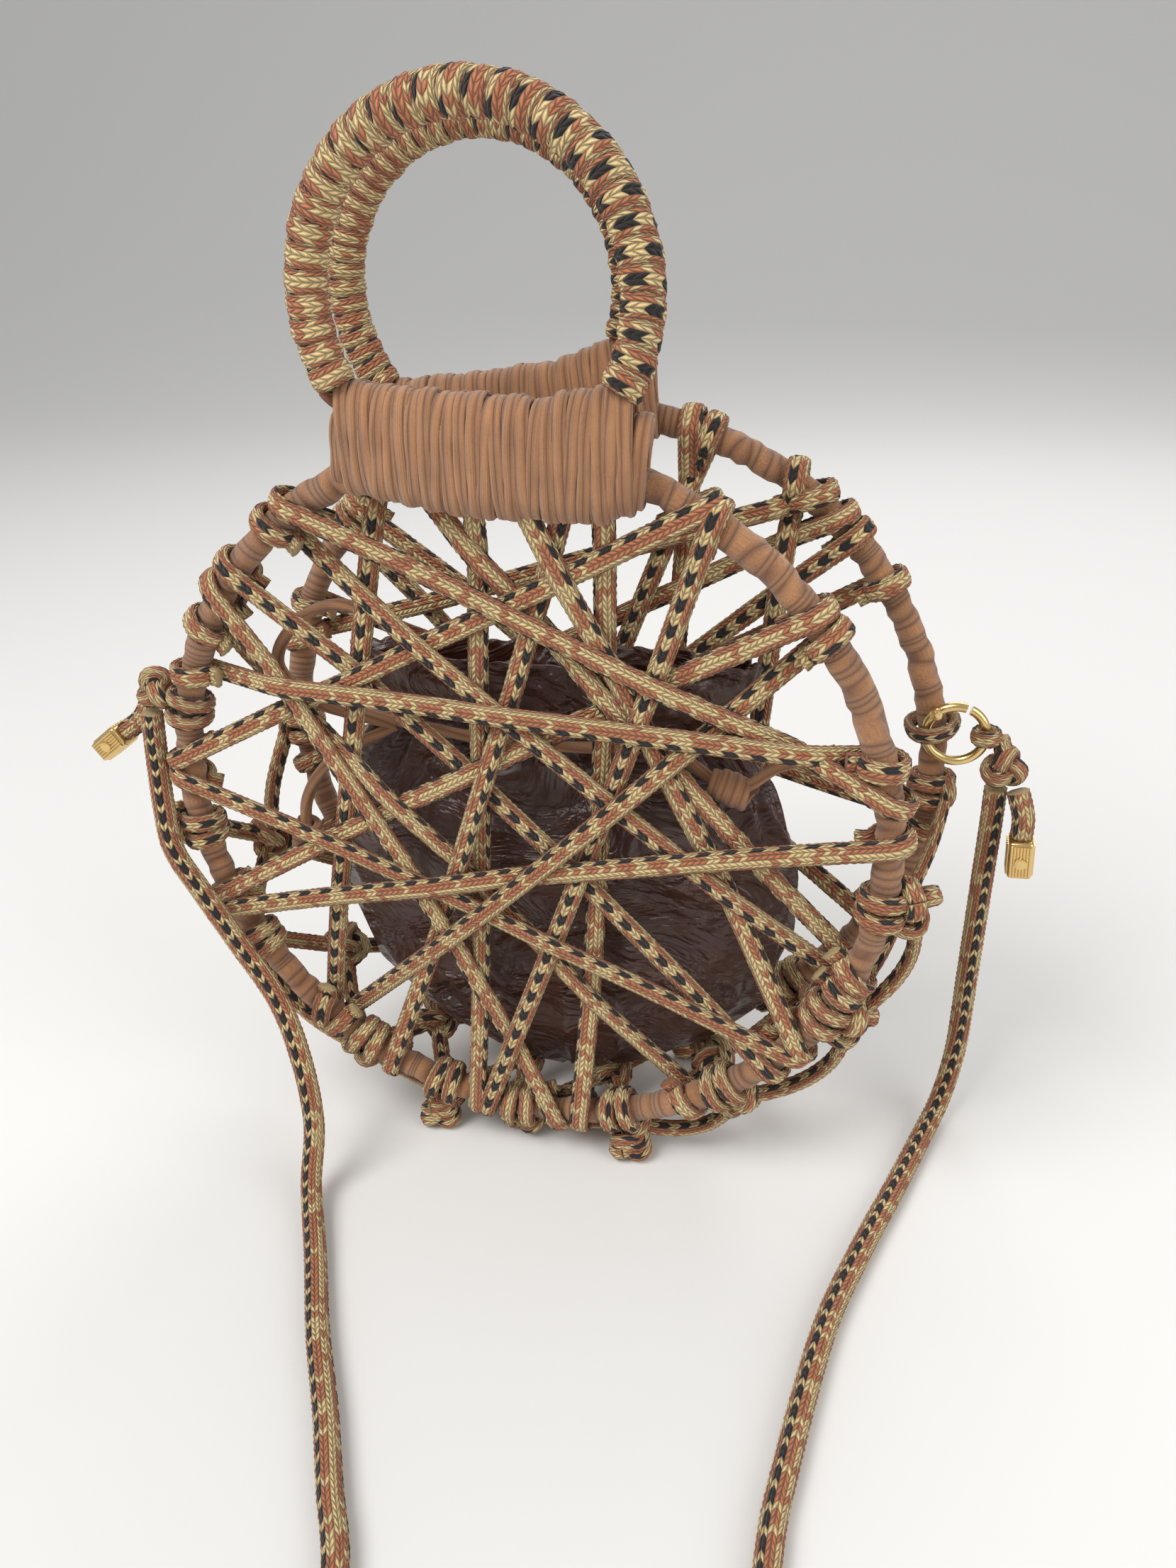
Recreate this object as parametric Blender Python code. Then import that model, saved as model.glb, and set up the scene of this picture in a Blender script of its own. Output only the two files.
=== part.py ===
"""Cord bag: two laced hoops joined by a knotted gusset, round wrapped handles, a satin pouch and a strap.

The front hoop's centre is the point that the sizes are measured from.  place() takes a distance to the
right of it, one above it and one in front of its plane, and gives the world point, with +Z up, the
floor at zero and the bag's front facing -Y.
"""
import math

import bmesh
import bpy
from mathutils import Matrix, Vector

for item in list(bpy.data.objects):
    bpy.data.objects.remove(item, do_unlink=True)

# Gap kept between pieces that touch
GAP = 0.0003

# Hoops: a bare rod, wrapped in jersey yarn except under the lashing
HOOP_RADIUS = 0.122
ROD_RADIUS = 0.0030
HOOP_TUBE = 0.0047
HOOP_BARE_ANGLE = math.radians(19.0)
DEPTH = 0.062
BACK_SHIFT_X = 0.0112
BACK_SHIFT_Z = 0.0015
BACK_TURN = math.radians(10.5)
SIDE_SHIFT_X = -0.0100
DEPTH_MIDDLE = 0.02875

# Handles: a smaller ring that crosses the hoop in front of it, inside the lashing
HANDLE_RADIUS = 0.0482
HANDLE_TUBE = 0.0062
HANDLE_BARE_ANGLE = math.radians(58.0)
HANDLE_RISE = 0.163
HANDLE_AHEAD = 0.0064

# Lashing: place along the hoop, low edge, high edge, half thickness
LASHING_AHEAD = 0.0032
LASHING_HALF = 0.047
LASHING_MIDDLE = 0.122
LASHING_HEIGHT = 0.0180
LASHING_THICK = 0.0095
LASHING_SECTIONS = (
    {"along": -0.96, "low": -0.40, "high": 0.35, "thick": 0.55},
    {"along": -0.88, "low": -0.72, "high": 1.10, "thick": 0.86},
    {"along": -0.60, "low": -0.86, "high": 1.00, "thick": 0.96},
    {"along": -0.10, "low": -1.04, "high": 0.89, "thick": 1.00},
    {"along": 0.38, "low": -1.08, "high": 0.83, "thick": 1.00},
    {"along": 0.72, "low": -1.10, "high": 0.98, "thick": 0.94},
    {"along": 0.92, "low": -0.98, "high": 1.08, "thick": 0.86},
    {"along": 1.00, "low": -0.70, "high": 0.10, "thick": 0.55},
)

# Web: flat cords from hoop to hoop, angles in degrees round the hoop, layer counts towards the front
CORD_WIDTH = 0.0060
CORD_THICK = 0.0030
LAYER_STEP = 0.0007
CORD_STEP = 0.00004
LOOP_THICK = 0.0024
LOOP_SHARED_ANGLE = 4.6
FRONT_CHORDS = (
    {"start": 158, "end": 15, "layer": 2},
    {"start": 202, "end": 3, "layer": 1},
    {"start": 142, "end": 274.5, "layer": 0},
    {"start": 149, "end": 299, "layer": -1},
    {"start": 177, "end": 320.8, "layer": 1},
    {"start": 88, "end": 323, "layer": 0},
    {"start": 105, "end": 339, "layer": -1},
    {"start": 122, "end": 10, "layer": 2},
    {"start": 137, "end": 316, "layer": -2},
    {"start": 127, "end": 335.5, "layer": 1},
    {"start": 173, "end": 60, "layer": 0},
    {"start": 39, "end": 199, "layer": -1},
    {"start": 35, "end": 231, "layer": 2},
    {"start": 57, "end": 262, "layer": 1},
    {"start": 77, "end": 243, "layer": 0},
    {"start": 108, "end": 227.5, "layer": -2},
    {"start": 92, "end": 260, "layer": -2},
    {"start": 73, "end": 279, "layer": -2},
)
BACK_CHORDS = (
    {"start": 59, "end": 235, "layer": 0},
    {"start": 62, "end": 268, "layer": -1},
    {"start": 44, "end": 284, "layer": 1},
    {"start": 41, "end": 152, "layer": 2},
    {"start": 36, "end": 177, "layer": 0},
    {"start": 32, "end": 206, "layer": 1},
    {"start": 23, "end": 191, "layer": -1},
    {"start": 127, "end": 292, "layer": 0},
    {"start": 123, "end": 320, "layer": 1},
    {"start": 145, "end": 340, "layer": -1},
)

# Gusset: lark's head knots on both hoops, tied to a row of knots half way between them
KNOT_WIDTH = 0.0086
KNOT_THICK = 0.0032
GUSSET_CORD = 0.0028
GUSSET_BULGE = 0.0016
MIDDLE_KNOT = 0.0062
FRONT_KNOTS = (187, 210, 237, 253, 267.5, 286, 306, 330, 352)
BACK_KNOTS = (170, 198, 220, 242.5, 259, 275.5, 299, 327, 347)

# Feet: the knots that the bag stands on, flattened by its weight
HOOP_HEIGHT = 0.1378
FOOT_RADIUS = 0.0080
FOOT_TOP = 0.0030
FOOT_ANGLES = (253.0, 286.0)

# Pouch: how far down each section is, and its shares of the half width and half depth
POUCH_WALL = 0.0014
POUCH_SIDES = 16
POUCH_MIDDLE = 0.0042
POUCH_AHEAD = -0.031
POUCH_WIDTH = 0.084
POUCH_DEPTH = 0.0185
POUCH_HIGH = 0.050
POUCH_LOW = -0.1226
POUCH_NECK_ROW = 7
POUCH_SECTIONS = (
    {"down": 1.00, "wide": 0.14, "deep": 0.25},
    {"down": 0.96, "wide": 0.38, "deep": 0.66},
    {"down": 0.89, "wide": 0.66, "deep": 0.90},
    {"down": 0.76, "wide": 0.94, "deep": 1.00},
    {"down": 0.58, "wide": 1.04, "deep": 1.00},
    {"down": 0.40, "wide": 1.05, "deep": 0.95},
    {"down": 0.25, "wide": 0.95, "deep": 0.80},
    {"down": 0.16, "wide": 0.82, "deep": 0.62},
    {"down": 0.07, "wide": 0.85, "deep": 0.72},
    {"down": 0.00, "wide": 0.89, "deep": 0.80},
)

# Drawstring: jersey yarn round the pouch's neck, with two wrapped stopper knots
YARN_RADIUS = 0.0019
YARN_SIDES = 5
YARN_STATIONS = 24
STOPPER_RADIUS = 0.0062

# Yarn routes: (right, rise) of the front hoop's centre, and distance in front of the neck's yarn
LOOP_ROUTE = (
    ((-0.050, 0.022), -0.0049),
    ((-0.074, 0.032), 0.0040),
    ((-0.086, 0.046), 0.0065),
    ((-0.079, 0.060), 0.0075),
    ((-0.064, 0.069), 0.0080),
    ((-0.048, 0.067), 0.0080),
    ((-0.030, 0.052), 0.0060),
    ((-0.010, 0.027), 0.0005),
)
END_ROUTE = (
    ((0.048, 0.023), -0.0030),
    ((0.071, 0.013), 0.0035),
    ((0.086, 0.023), 0.0050),
    ((0.103, 0.030), 0.0050),
)
LEFT_END_ROUTE = (
    ((-0.050, 0.022), -0.0049),
    ((-0.073, 0.010), 0.0020),
    ((-0.085, -0.006), 0.0030),
    ((-0.088, -0.023), 0.0030),
)
STOPPER_PLACES = ((0.0708, 0.0129, 0.0040), (-0.0880, -0.0230, 0.0030))

# Strap: its tube, its knots and the metal ends
STRAP_RADIUS = 0.0036
STRAP_TOTAL_POINTS = 64
TAIL_SIDES = 8
LEFT_KNOT_ANGLE = math.radians(164.5)
LEFT_KNOT = (-0.1295, 0.0385, 0.0010)
LEFT_KNOT_RADIUS = 0.0080
LEFT_TAIL = (
    (-0.1354, 0.0344, -0.0053),
    (-0.1455, 0.0225, -0.0100),
    (-0.1543, 0.0160, -0.0100),
)
RIGHT_KNOT = (0.1564, 0.0093, -0.0540)
RIGHT_KNOT_RADIUS = 0.0080
RIGHT_TAIL = (
    (0.1614, 0.0025, -0.0506),
    (0.1640, -0.0060, -0.0495),
    (0.1643, -0.0138, -0.0495),
)
STRAP_ROUTE = (
    (-0.1315, 0.0303, 0.0030),
    (-0.1335, 0.0110, 0.0030),
    (-0.1310, -0.0050, 0.0080),
    (-0.1270, -0.0190, 0.0125),
    (-0.1175, -0.0340, 0.0145),
    (-0.1050, -0.0530, 0.0165),
    (-0.0889, -0.0720, 0.0220),
    (-0.0775, -0.0900, 0.0310),
    (-0.0715, -0.1120, 0.0390),
    (-0.0690, -0.1295, 0.0510),
    (-0.0550, -0.1336, 0.0761),
    (-0.0395, -0.1336, 0.1042),
    (-0.0244, -0.1336, 0.1285),
    (-0.0122, -0.1336, 0.1498),
    (-0.0010, -0.1336, 0.1687),
    (0.0140, -0.1336, 0.2050),
    (0.0240, -0.1336, 0.2550),
    (0.0420, -0.1336, 0.3050),
    (0.0760, -0.1336, 0.3260),
    (0.1080, -0.1336, 0.3000),
    (0.1150, -0.1336, 0.2450),
    (0.1110, -0.1336, 0.1900),
    (0.1080, -0.1336, 0.1405),
    (0.1091, -0.1336, 0.1142),
    (0.1150, -0.1336, 0.0656),
    (0.1234, -0.1336, 0.0322),
    (0.1324, -0.1336, 0.0028),
    (0.1410, -0.1336, -0.0260),
    (0.1480, -0.1280, -0.0460),
    (0.1520, -0.1091, -0.0540),
    (0.1530, -0.0772, -0.0560),
    (0.1540, -0.0370, -0.0570),
    (0.1545, -0.0142, -0.0565),
    (0.1545, 0.0009, -0.0550),
)
CAP_LENGTH = 0.0139
CAP_WIDTH = 0.0108
CAP_THICK = 0.0086
CAP_WALL_BEVEL = 0.0012

# Clasp: a spring gate ring, round wire
CLASP_RADIUS = 0.0098
CLASP_WIRE = 0.0016
CLASP_X = 0.1395
CLASP_RISE = 0.0205
CLASP_AHEAD = -0.0535
ANCHOR_ANGLE = math.radians(-1.5)
ANCHOR_WIDTH = 0.0050
ANCHOR_STRETCH = 0.0062
ANCHOR_WIDEN = 0.0015
PIVOT_ANGLE = math.radians(135.0)
GATE_END_ANGLE = math.radians(64.0)
GATE_REACH = 0.0101
RING_END_ANGLE = math.radians(64.6)
TURN_WIDTH = 0.0056
PIN_RADIUS = 0.0008
PIN_OVERLAP = 0.0002
RING_STATIONS = 20
GATE_STATIONS = 6
WIRE_SIDES = 8
CHEEK_RADIUS = 0.0021
CHEEK_INNER = 0.0009
TONGUE_HALF = 0.0006


def place(right, rise, ahead):
    """World point from a distance right of, above and in front of the front hoop's centre."""
    return Vector((right + SIDE_SHIFT_X, -ahead - DEPTH_MIDDLE, rise + HOOP_HEIGHT))


FRONT = Matrix.Translation(place(0, 0, 0)) @ Matrix.Rotation(math.radians(90), 4, "X")
BACK = (
    Matrix.Translation(place(BACK_SHIFT_X, BACK_SHIFT_Z, -DEPTH))
    @ Matrix.Rotation(math.radians(90), 4, "X")
    @ Matrix.Rotation(BACK_TURN, 4, "Z")
)


def material(name, colour, roughness, metallic=0.0):
    made = bpy.data.materials.get(name) or bpy.data.materials.new(name)
    made.use_nodes = True
    shader = made.node_tree.nodes["Principled BSDF"]
    shader.inputs["Base Color"].default_value = (*colour, 1.0)
    shader.inputs["Roughness"].default_value = roughness
    shader.inputs["Metallic"].default_value = metallic
    return made


CORD_LOOK = ("knitted_cord", (0.52, 0.36, 0.20), 0.85)
JERSEY_LOOK = ("jersey_yarn", (0.42, 0.20, 0.09), 0.90)
SATIN_LOOK = ("brown_satin", (0.045, 0.012, 0.010), 0.38)
GOLD_LOOK = ("gold_metal", (0.78, 0.58, 0.27), 0.30, 1.0)


def add_object(name, verts, faces, look, matrix=None):
    mesh = bpy.data.meshes.new(name)
    mesh.from_pydata([tuple(v) for v in verts], [], faces)
    if matrix is not None:
        mesh.transform(matrix)
    mesh.validate()
    body = bmesh.new()
    body.from_mesh(mesh)
    bmesh.ops.recalc_face_normals(body, faces=body.faces)
    body.to_mesh(mesh)
    body.free()
    thing = bpy.data.objects.new(name, mesh)
    bpy.context.scene.collection.objects.link(thing)
    mesh.materials.append(material(*look))
    mesh.shade_smooth()
    mesh.set_sharp_from_angle(angle=math.radians(40))
    return thing


def sweep(points, across, section, closed=False, scale=None):
    """Verts and faces of a section of (across, up) pairs carried along points.

    across gives, for each point, the direction of the section's first axis.
    """
    count = len(points)
    verts = []
    for i, point in enumerate(points):
        before = points[i - 1] if i or closed else points[i]
        after = points[(i + 1) % count] if i + 1 < count or closed else points[i]
        ahead = (after - before).normalized()
        side = across[i] - ahead * across[i].dot(ahead)
        side.normalize()
        up = side.cross(ahead)
        size = scale[i] if scale else 1.0
        verts += [point + side * (a * size) + up * (b * size) for a, b in section]
    sides = len(section)
    faces = []
    for i in range(count if closed else count - 1):
        j = (i + 1) % count
        for k in range(sides):
            m = (k + 1) % sides
            faces.append((i * sides + k, i * sides + m, j * sides + m, j * sides + k))
    if not closed:
        faces.append(tuple(range(sides)))
        faces.append(tuple(range((count - 1) * sides, count * sides)))
    return verts, faces


def round_section(radius, sides):
    turn = 2 * math.pi / sides
    return [(radius * math.cos(k * turn), radius * math.sin(k * turn)) for k in range(sides)]


def flat_section(width, thick):
    half_w = width / 2
    half_t = thick / 2
    return [(half_w, half_t), (-half_w, half_t), (-half_w, -half_t), (half_w, -half_t)]


def smooth_curve(points, count):
    """Evenly spaced points along a Catmull-Rom curve through points."""
    ends = [points[0] * 2 - points[1]] + list(points) + [points[-1] * 2 - points[-2]]
    dense = []
    for i in range(1, len(ends) - 2):
        a, b, c, d = ends[i - 1 : i + 3]
        for step in range(24):
            t = step / 24
            bend = 2 * a - 5 * b + 4 * c - d
            twist = 3 * b - a - 3 * c + d
            dense.append(0.5 * (2 * b + (c - a) * t + bend * t**2 + twist * t**3))
    dense.append(points[-1])
    lengths = [0.0]
    for one, two in zip(dense, dense[1:]):
        lengths.append(lengths[-1] + (two - one).length)
    even = []
    spot = 0
    for i in range(count):
        goal = lengths[-1] * i / (count - 1)
        while spot < len(dense) - 2 and lengths[spot + 1] < goal:
            spot += 1
        span = lengths[spot + 1] - lengths[spot]
        even.append(dense[spot].lerp(dense[spot + 1], (goal - lengths[spot]) / span))
    return even


def tube(name, points, radius, sides, look, matrix=None, up_hint=Vector((0, 0, 1))):
    verts, faces = sweep(points, [up_hint] * len(points), round_section(radius, sides))
    return add_object(name, verts, faces, look, matrix)


def evaluated_mesh(thing):
    graph = bpy.context.evaluated_depsgraph_get()
    return bpy.data.meshes.new_from_object(thing.evaluated_get(graph))


def combine(target, other, operation, self_cut=False):
    """Apply a Boolean of other to target, then remove other."""
    step = target.modifiers.new("join", "BOOLEAN")
    step.operation = operation
    step.solver = "EXACT"
    step.use_self = self_cut
    step.object = other
    old = target.data
    target.data = evaluated_mesh(target)
    target.modifiers.clear()
    target.data.name = old.name
    bpy.data.meshes.remove(old)
    bpy.data.objects.remove(other, do_unlink=True)


def join_all(name, pieces):
    """Union of pieces into the first of them."""
    whole = pieces[0]
    for piece in pieces[1:]:
        combine(whole, piece, "UNION")
    whole.name = name
    whole.data.name = name
    return whole


def on_hoop(angle, radius=HOOP_RADIUS, ahead=0.0):
    return Vector((radius * math.cos(angle), radius * math.sin(angle), ahead))


def hoop_tube(name, matrix, grow=0.0):
    """The wrapped hoop; its bare rod shows only where the lashing covers it."""
    stations = 36
    points = []
    sizes = []
    for i in range(stations):
        angle = math.radians(90) + 2 * math.pi * i / stations
        points.append(on_hoop(angle))
        from_top = min(i, stations - i) * 2 * math.pi / stations
        sizes.append((ROD_RADIUS if from_top < HOOP_BARE_ANGLE else HOOP_TUBE) + grow)
    verts, faces = sweep(
        points, [Vector((0, 0, 1))] * stations, round_section(1.0, 8), closed=True, scale=sizes
    )
    return add_object(name, verts, faces, JERSEY_LOOK, matrix)


def handle_tube(name, matrix, grow=0.0):
    """The cord-wrapped handle ring; its bare rod is under the lashing."""
    stations = 28
    points = []
    sizes = []
    for i in range(stations):
        angle = math.radians(-90) + 2 * math.pi * i / stations
        points.append(on_hoop(angle, HANDLE_RADIUS, HANDLE_AHEAD) + Vector((0, HANDLE_RISE, 0)))
        from_low = min(i, stations - i) * 2 * math.pi / stations
        sizes.append((ROD_RADIUS if from_low < HANDLE_BARE_ANGLE else HANDLE_TUBE) + grow)
    verts, faces = sweep(
        points, [Vector((0, 0, 1))] * stations, round_section(1.0, 8), closed=True, scale=sizes
    )
    return add_object(name, verts, faces, CORD_LOOK, matrix)


def lashing_body(name, matrix, grow=0.0):
    """The band of jersey strips bound round the handle and the hoop."""
    sides = 8
    verts = []
    for row in LASHING_SECTIONS:
        low = row["low"] * LASHING_HEIGHT - grow
        high = row["high"] * LASHING_HEIGHT + grow
        thick = row["thick"] * LASHING_THICK + grow
        along = row["along"] * LASHING_HALF
        if row is LASHING_SECTIONS[0]:
            along -= grow
        if row is LASHING_SECTIONS[-1]:
            along += grow
        for k in range(sides):
            turn = 2 * math.pi * (k + 0.5) / sides
            height = math.copysign(abs(math.cos(turn)) ** 0.7, math.cos(turn))
            width = math.copysign(abs(math.sin(turn)) ** 0.7, math.sin(turn))
            rise = LASHING_MIDDLE + (low + high) / 2 + height * (high - low) / 2
            verts.append(Vector((along, rise, LASHING_AHEAD + width * thick)))
    faces = []
    rows = len(LASHING_SECTIONS)
    for i in range(rows - 1):
        for k in range(sides):
            m = (k + 1) % sides
            faces.append((i * sides + k, i * sides + m, (i + 1) * sides + m, (i + 1) * sides + k))
    faces.append(tuple(range(sides)))
    faces.append(tuple(range((rows - 1) * sides, rows * sides)))
    return add_object(name, verts, faces, JERSEY_LOOK, matrix)


def collar(angle, width, thick, matrix, look, segments=6, stretch=0.0, widen=0.0):
    """A cord's turn round the hoop; stretch and widen make room in it for a ring's wire."""
    inner = (HOOP_TUBE + 2 * GAP) / math.cos(math.pi / segments)
    middle = inner + thick / 2
    centre = on_hoop(angle)
    outward = centre.normalized()
    forward = Vector((0, 0, 1))
    tangent = outward.cross(forward)
    points = []
    for k in range(segments):
        turn = 2 * math.pi * (k + 0.5) / segments
        reach = middle + (stretch if math.cos(turn) > 0 else 0.0)
        spread = (middle + widen) * math.sin(turn)
        points.append(centre + forward * (reach * math.cos(turn)) + outward * spread)
    verts, faces = sweep(points, [tangent] * segments, flat_section(width, thick), closed=True)
    return add_object("collar", verts, faces, look, matrix)


def loop_groups(chords):
    """Where the lacing turns round the hoop: cords that lie side by side share one wide turn."""
    angles = sorted([row["start"] for row in chords] + [row["end"] for row in chords])
    groups = [[angles[0]]]
    for angle in angles[1:]:
        if angle - groups[-1][-1] > LOOP_SHARED_ANGLE:
            groups.append([angle])
        else:
            groups[-1].append(angle)
    return [((group[0] + group[-1]) / 2, group[-1] - group[0]) for group in groups]


def web(name, matrix, chords):
    """The lacing: flat cords across the hoop, each looped round it at both ends."""
    pieces = []
    lashed = math.degrees(math.asin(LASHING_HALF / HOOP_RADIUS))
    for i, row in enumerate(chords):
        ahead = row["layer"] * LAYER_STEP + i * CORD_STEP
        start = on_hoop(math.radians(row["start"]), ahead=ahead)
        end = on_hoop(math.radians(row["end"]), ahead=ahead)
        thick = CORD_THICK + i * CORD_STEP
        across = (end - start).cross(Vector((0, 0, 1))).normalized()
        verts, faces = sweep([start, end], [across, across], flat_section(CORD_WIDTH, thick))
        pieces.append(add_object("chord", verts, faces, CORD_LOOK, matrix))
    for angle, span in loop_groups(chords):
        if abs(angle - 90) > lashed:
            width = CORD_WIDTH + span * math.radians(1) * HOOP_RADIUS
            pieces.append(collar(math.radians(angle), width, LOOP_THICK, matrix, CORD_LOOK))
    whole = join_all(name, pieces)
    combine(whole, hoop_tube("cutter", matrix, GAP), "DIFFERENCE")
    combine(whole, lashing_body("cutter", matrix, GAP), "DIFFERENCE")
    return whole


def knot_ball(centre, radius, look, height=None, floor=None):
    """A knot as a low ball; floor flattens it there."""
    body = bmesh.new()
    bmesh.ops.create_uvsphere(body, u_segments=7, v_segments=5, radius=1.0)
    for vert in body.verts:
        vert.co = Vector((vert.co.x * radius, vert.co.y * radius, vert.co.z * (height or radius)))
        vert.co += centre
        if floor is not None:
            vert.co.z = max(vert.co.z, floor)
    mesh = bpy.data.meshes.new("knot")
    body.to_mesh(mesh)
    body.free()
    thing = bpy.data.objects.new("knot", mesh)
    bpy.context.scene.collection.objects.link(thing)
    mesh.materials.append(material(*look))
    mesh.shade_smooth()
    return thing


def strut(start, end):
    """A gusset cord from one knot to the next."""
    return tube("strut", [start, end], GUSSET_CORD, 4, CORD_LOOK, up_hint=Vector((0.3, 0.9, 0.2)))


def foot(matrix, angle):
    """A flattened knot under the hoop, from the hoop's underside to the floor."""
    base = matrix @ on_hoop(math.radians(angle), HOOP_RADIUS + HOOP_TUBE + FOOT_RADIUS)
    height = base.z + FOOT_RADIUS + FOOT_TOP
    centre = Vector((base.x, base.y, height / 2))
    body = bmesh.new()
    bmesh.ops.create_cube(body, size=1.0)
    bmesh.ops.scale(body, vec=(2 * FOOT_RADIUS, 2 * FOOT_RADIUS, height), verts=body.verts)
    bmesh.ops.translate(body, vec=centre, verts=body.verts)
    bmesh.ops.bevel(
        body, geom=list(body.edges), offset=0.0030, segments=1, affect="EDGES", profile=0.5
    )
    mesh = bpy.data.meshes.new("foot")
    body.to_mesh(mesh)
    body.free()
    thing = bpy.data.objects.new("foot", mesh)
    bpy.context.scene.collection.objects.link(thing)
    mesh.materials.append(material(*CORD_LOOK))
    return thing


def gusset():
    """The knotted strip that joins the hoops round the sides and the bottom."""
    front = []
    back = []
    pieces = []
    reach = HOOP_RADIUS + HOOP_TUBE + KNOT_THICK
    for angle in FRONT_KNOTS:
        turn = math.radians(angle)
        pieces.append(collar(turn, KNOT_WIDTH, KNOT_THICK, FRONT, CORD_LOOK))
        front.append(FRONT @ on_hoop(turn, reach - 0.0010, -0.0030))
    for angle in BACK_KNOTS:
        turn = math.radians(angle)
        pieces.append(collar(turn, KNOT_WIDTH, KNOT_THICK, BACK, CORD_LOOK))
        back.append(BACK @ on_hoop(turn, reach - 0.0010, 0.0030))
    middles = []
    for i in range(len(front) - 1):
        spot = (front[i] + front[i + 1] + back[i] + back[i + 1]) / 4
        outward = (spot - place(BACK_SHIFT_X / 2, 0, -DEPTH / 2)) * Vector((1, 0, 1))
        middles.append(spot + outward.normalized() * GUSSET_BULGE)
    for i, spot in enumerate(middles):
        pieces.append(knot_ball(spot, MIDDLE_KNOT, CORD_LOOK))
        for end in (front[i], front[i + 1], back[i], back[i + 1]):
            pieces.append(strut(spot, end))
    for angle in FOOT_ANGLES:
        pieces.append(foot(FRONT, angle))
        pieces.append(foot(BACK, angle - math.degrees(BACK_TURN)))
    whole = join_all("gusset", pieces)
    combine(whole, hoop_tube("cutter", FRONT, GAP), "DIFFERENCE")
    combine(whole, hoop_tube("cutter", BACK, GAP), "DIFFERENCE")
    return whole


def side(name, matrix, chords):
    hoop_tube(f"{name}_hoop", matrix)
    handle_tube(f"{name}_handle", matrix)
    band = lashing_body(f"{name}_lashing", matrix)
    combine(band, hoop_tube("cutter", matrix, GAP), "DIFFERENCE")
    combine(band, handle_tube("cutter", matrix, GAP), "DIFFERENCE")
    web(f"{name}_web", matrix, chords)


side("front", FRONT, FRONT_CHORDS)
side("back", BACK, BACK_CHORDS)
gusset()


def pouch():
    """Satin sack, hollow and open at its neck, standing on the gusset inside the hoops."""
    verts = []
    rows = []
    for wall in (0.0, POUCH_WALL):
        for row in POUCH_SECTIONS:
            rise = POUCH_HIGH + (POUCH_LOW - POUCH_HIGH) * row["down"]
            if wall and row is POUCH_SECTIONS[0]:
                rise += wall
            rows.append((row, rise, wall))
    outer = rows[: len(POUCH_SECTIONS)]
    inner = rows[len(POUCH_SECTIONS) :]
    for row, rise, wall in outer + inner[::-1]:
        wide = row["wide"] * POUCH_WIDTH - wall
        deep = row["deep"] * POUCH_DEPTH - wall
        for k in range(POUCH_SIDES):
            turn = 2 * math.pi * k / POUCH_SIDES
            right = POUCH_MIDDLE + wide * math.cos(turn)
            verts.append(place(right, rise, POUCH_AHEAD + deep * math.sin(turn)))
    faces = []
    count = len(outer) + len(inner)
    for i in range(count - 1):
        for k in range(POUCH_SIDES):
            m = (k + 1) % POUCH_SIDES
            a = i * POUCH_SIDES
            b = a + POUCH_SIDES
            faces.append((a + k, a + m, b + m, b + k))
    faces.append(tuple(range(POUCH_SIDES)))
    faces.append(tuple(range((count - 1) * POUCH_SIDES, count * POUCH_SIDES)))
    return add_object("pouch", verts, faces, SATIN_LOOK)


def drawstring():
    """Jersey yarn tied round the pouch's neck in front, with loops and two stopper knots."""
    neck = POUCH_SECTIONS[POUCH_NECK_ROW]
    rise = POUCH_HIGH + (POUCH_LOW - POUCH_HIGH) * neck["down"]
    room = YARN_RADIUS + 4 * GAP
    wide = neck["wide"] * POUCH_WIDTH + room
    deep = neck["deep"] * POUCH_DEPTH + room
    ring = []
    for k in range(YARN_STATIONS):
        turn = 2 * math.pi * k / YARN_STATIONS
        right = POUCH_MIDDLE + wide * math.cos(turn)
        ring.append(place(right, rise, POUCH_AHEAD + deep * math.sin(turn)))
    section = round_section(YARN_RADIUS, YARN_SIDES)
    verts, faces = sweep(ring, [Vector((0, 0, 1))] * YARN_STATIONS, section, closed=True)
    pieces = [add_object("drawstring", verts, faces, JERSEY_LOOK)]
    level = POUCH_AHEAD + deep
    for points in (LOOP_ROUTE, END_ROUTE, LEFT_END_ROUTE):
        spots = [place(*spot, level + lift) for spot, lift in points]
        route = smooth_curve(spots, 3 * len(points) // 2)
        pieces.append(tube("yarn", route, YARN_RADIUS, YARN_SIDES, JERSEY_LOOK))
    for right, up, ahead in STOPPER_PLACES:
        pieces.append(
            knot_ball(place(right, up, level + ahead), STOPPER_RADIUS, JERSEY_LOOK, height=0.0085)
        )
    return join_all("drawstring", pieces)


def strap_knot(name, centre, radius, turn_piece, neck):
    """The strap's knot: a turn round what holds it, a neck and the knot's own body."""
    ball = knot_ball(centre, radius, CORD_LOOK)
    stem = tube("neck", [neck, centre], GUSSET_CORD, 6, CORD_LOOK, up_hint=Vector((0.1, 1, 0.1)))
    return join_all(name, [turn_piece, stem, ball])


def left_end():
    """Left knot on the front hoop, with the strap's short tail and its cap."""
    turn = collar(LEFT_KNOT_ANGLE, KNOT_WIDTH, KNOT_THICK, FRONT, CORD_LOOK)
    neck = FRONT @ on_hoop(LEFT_KNOT_ANGLE, HOOP_RADIUS + HOOP_TUBE + KNOT_THICK)
    strap_knot("strap_knot_left", place(*LEFT_KNOT), LEFT_KNOT_RADIUS, turn, neck)
    tail_and_cap("left", LEFT_TAIL)


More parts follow.
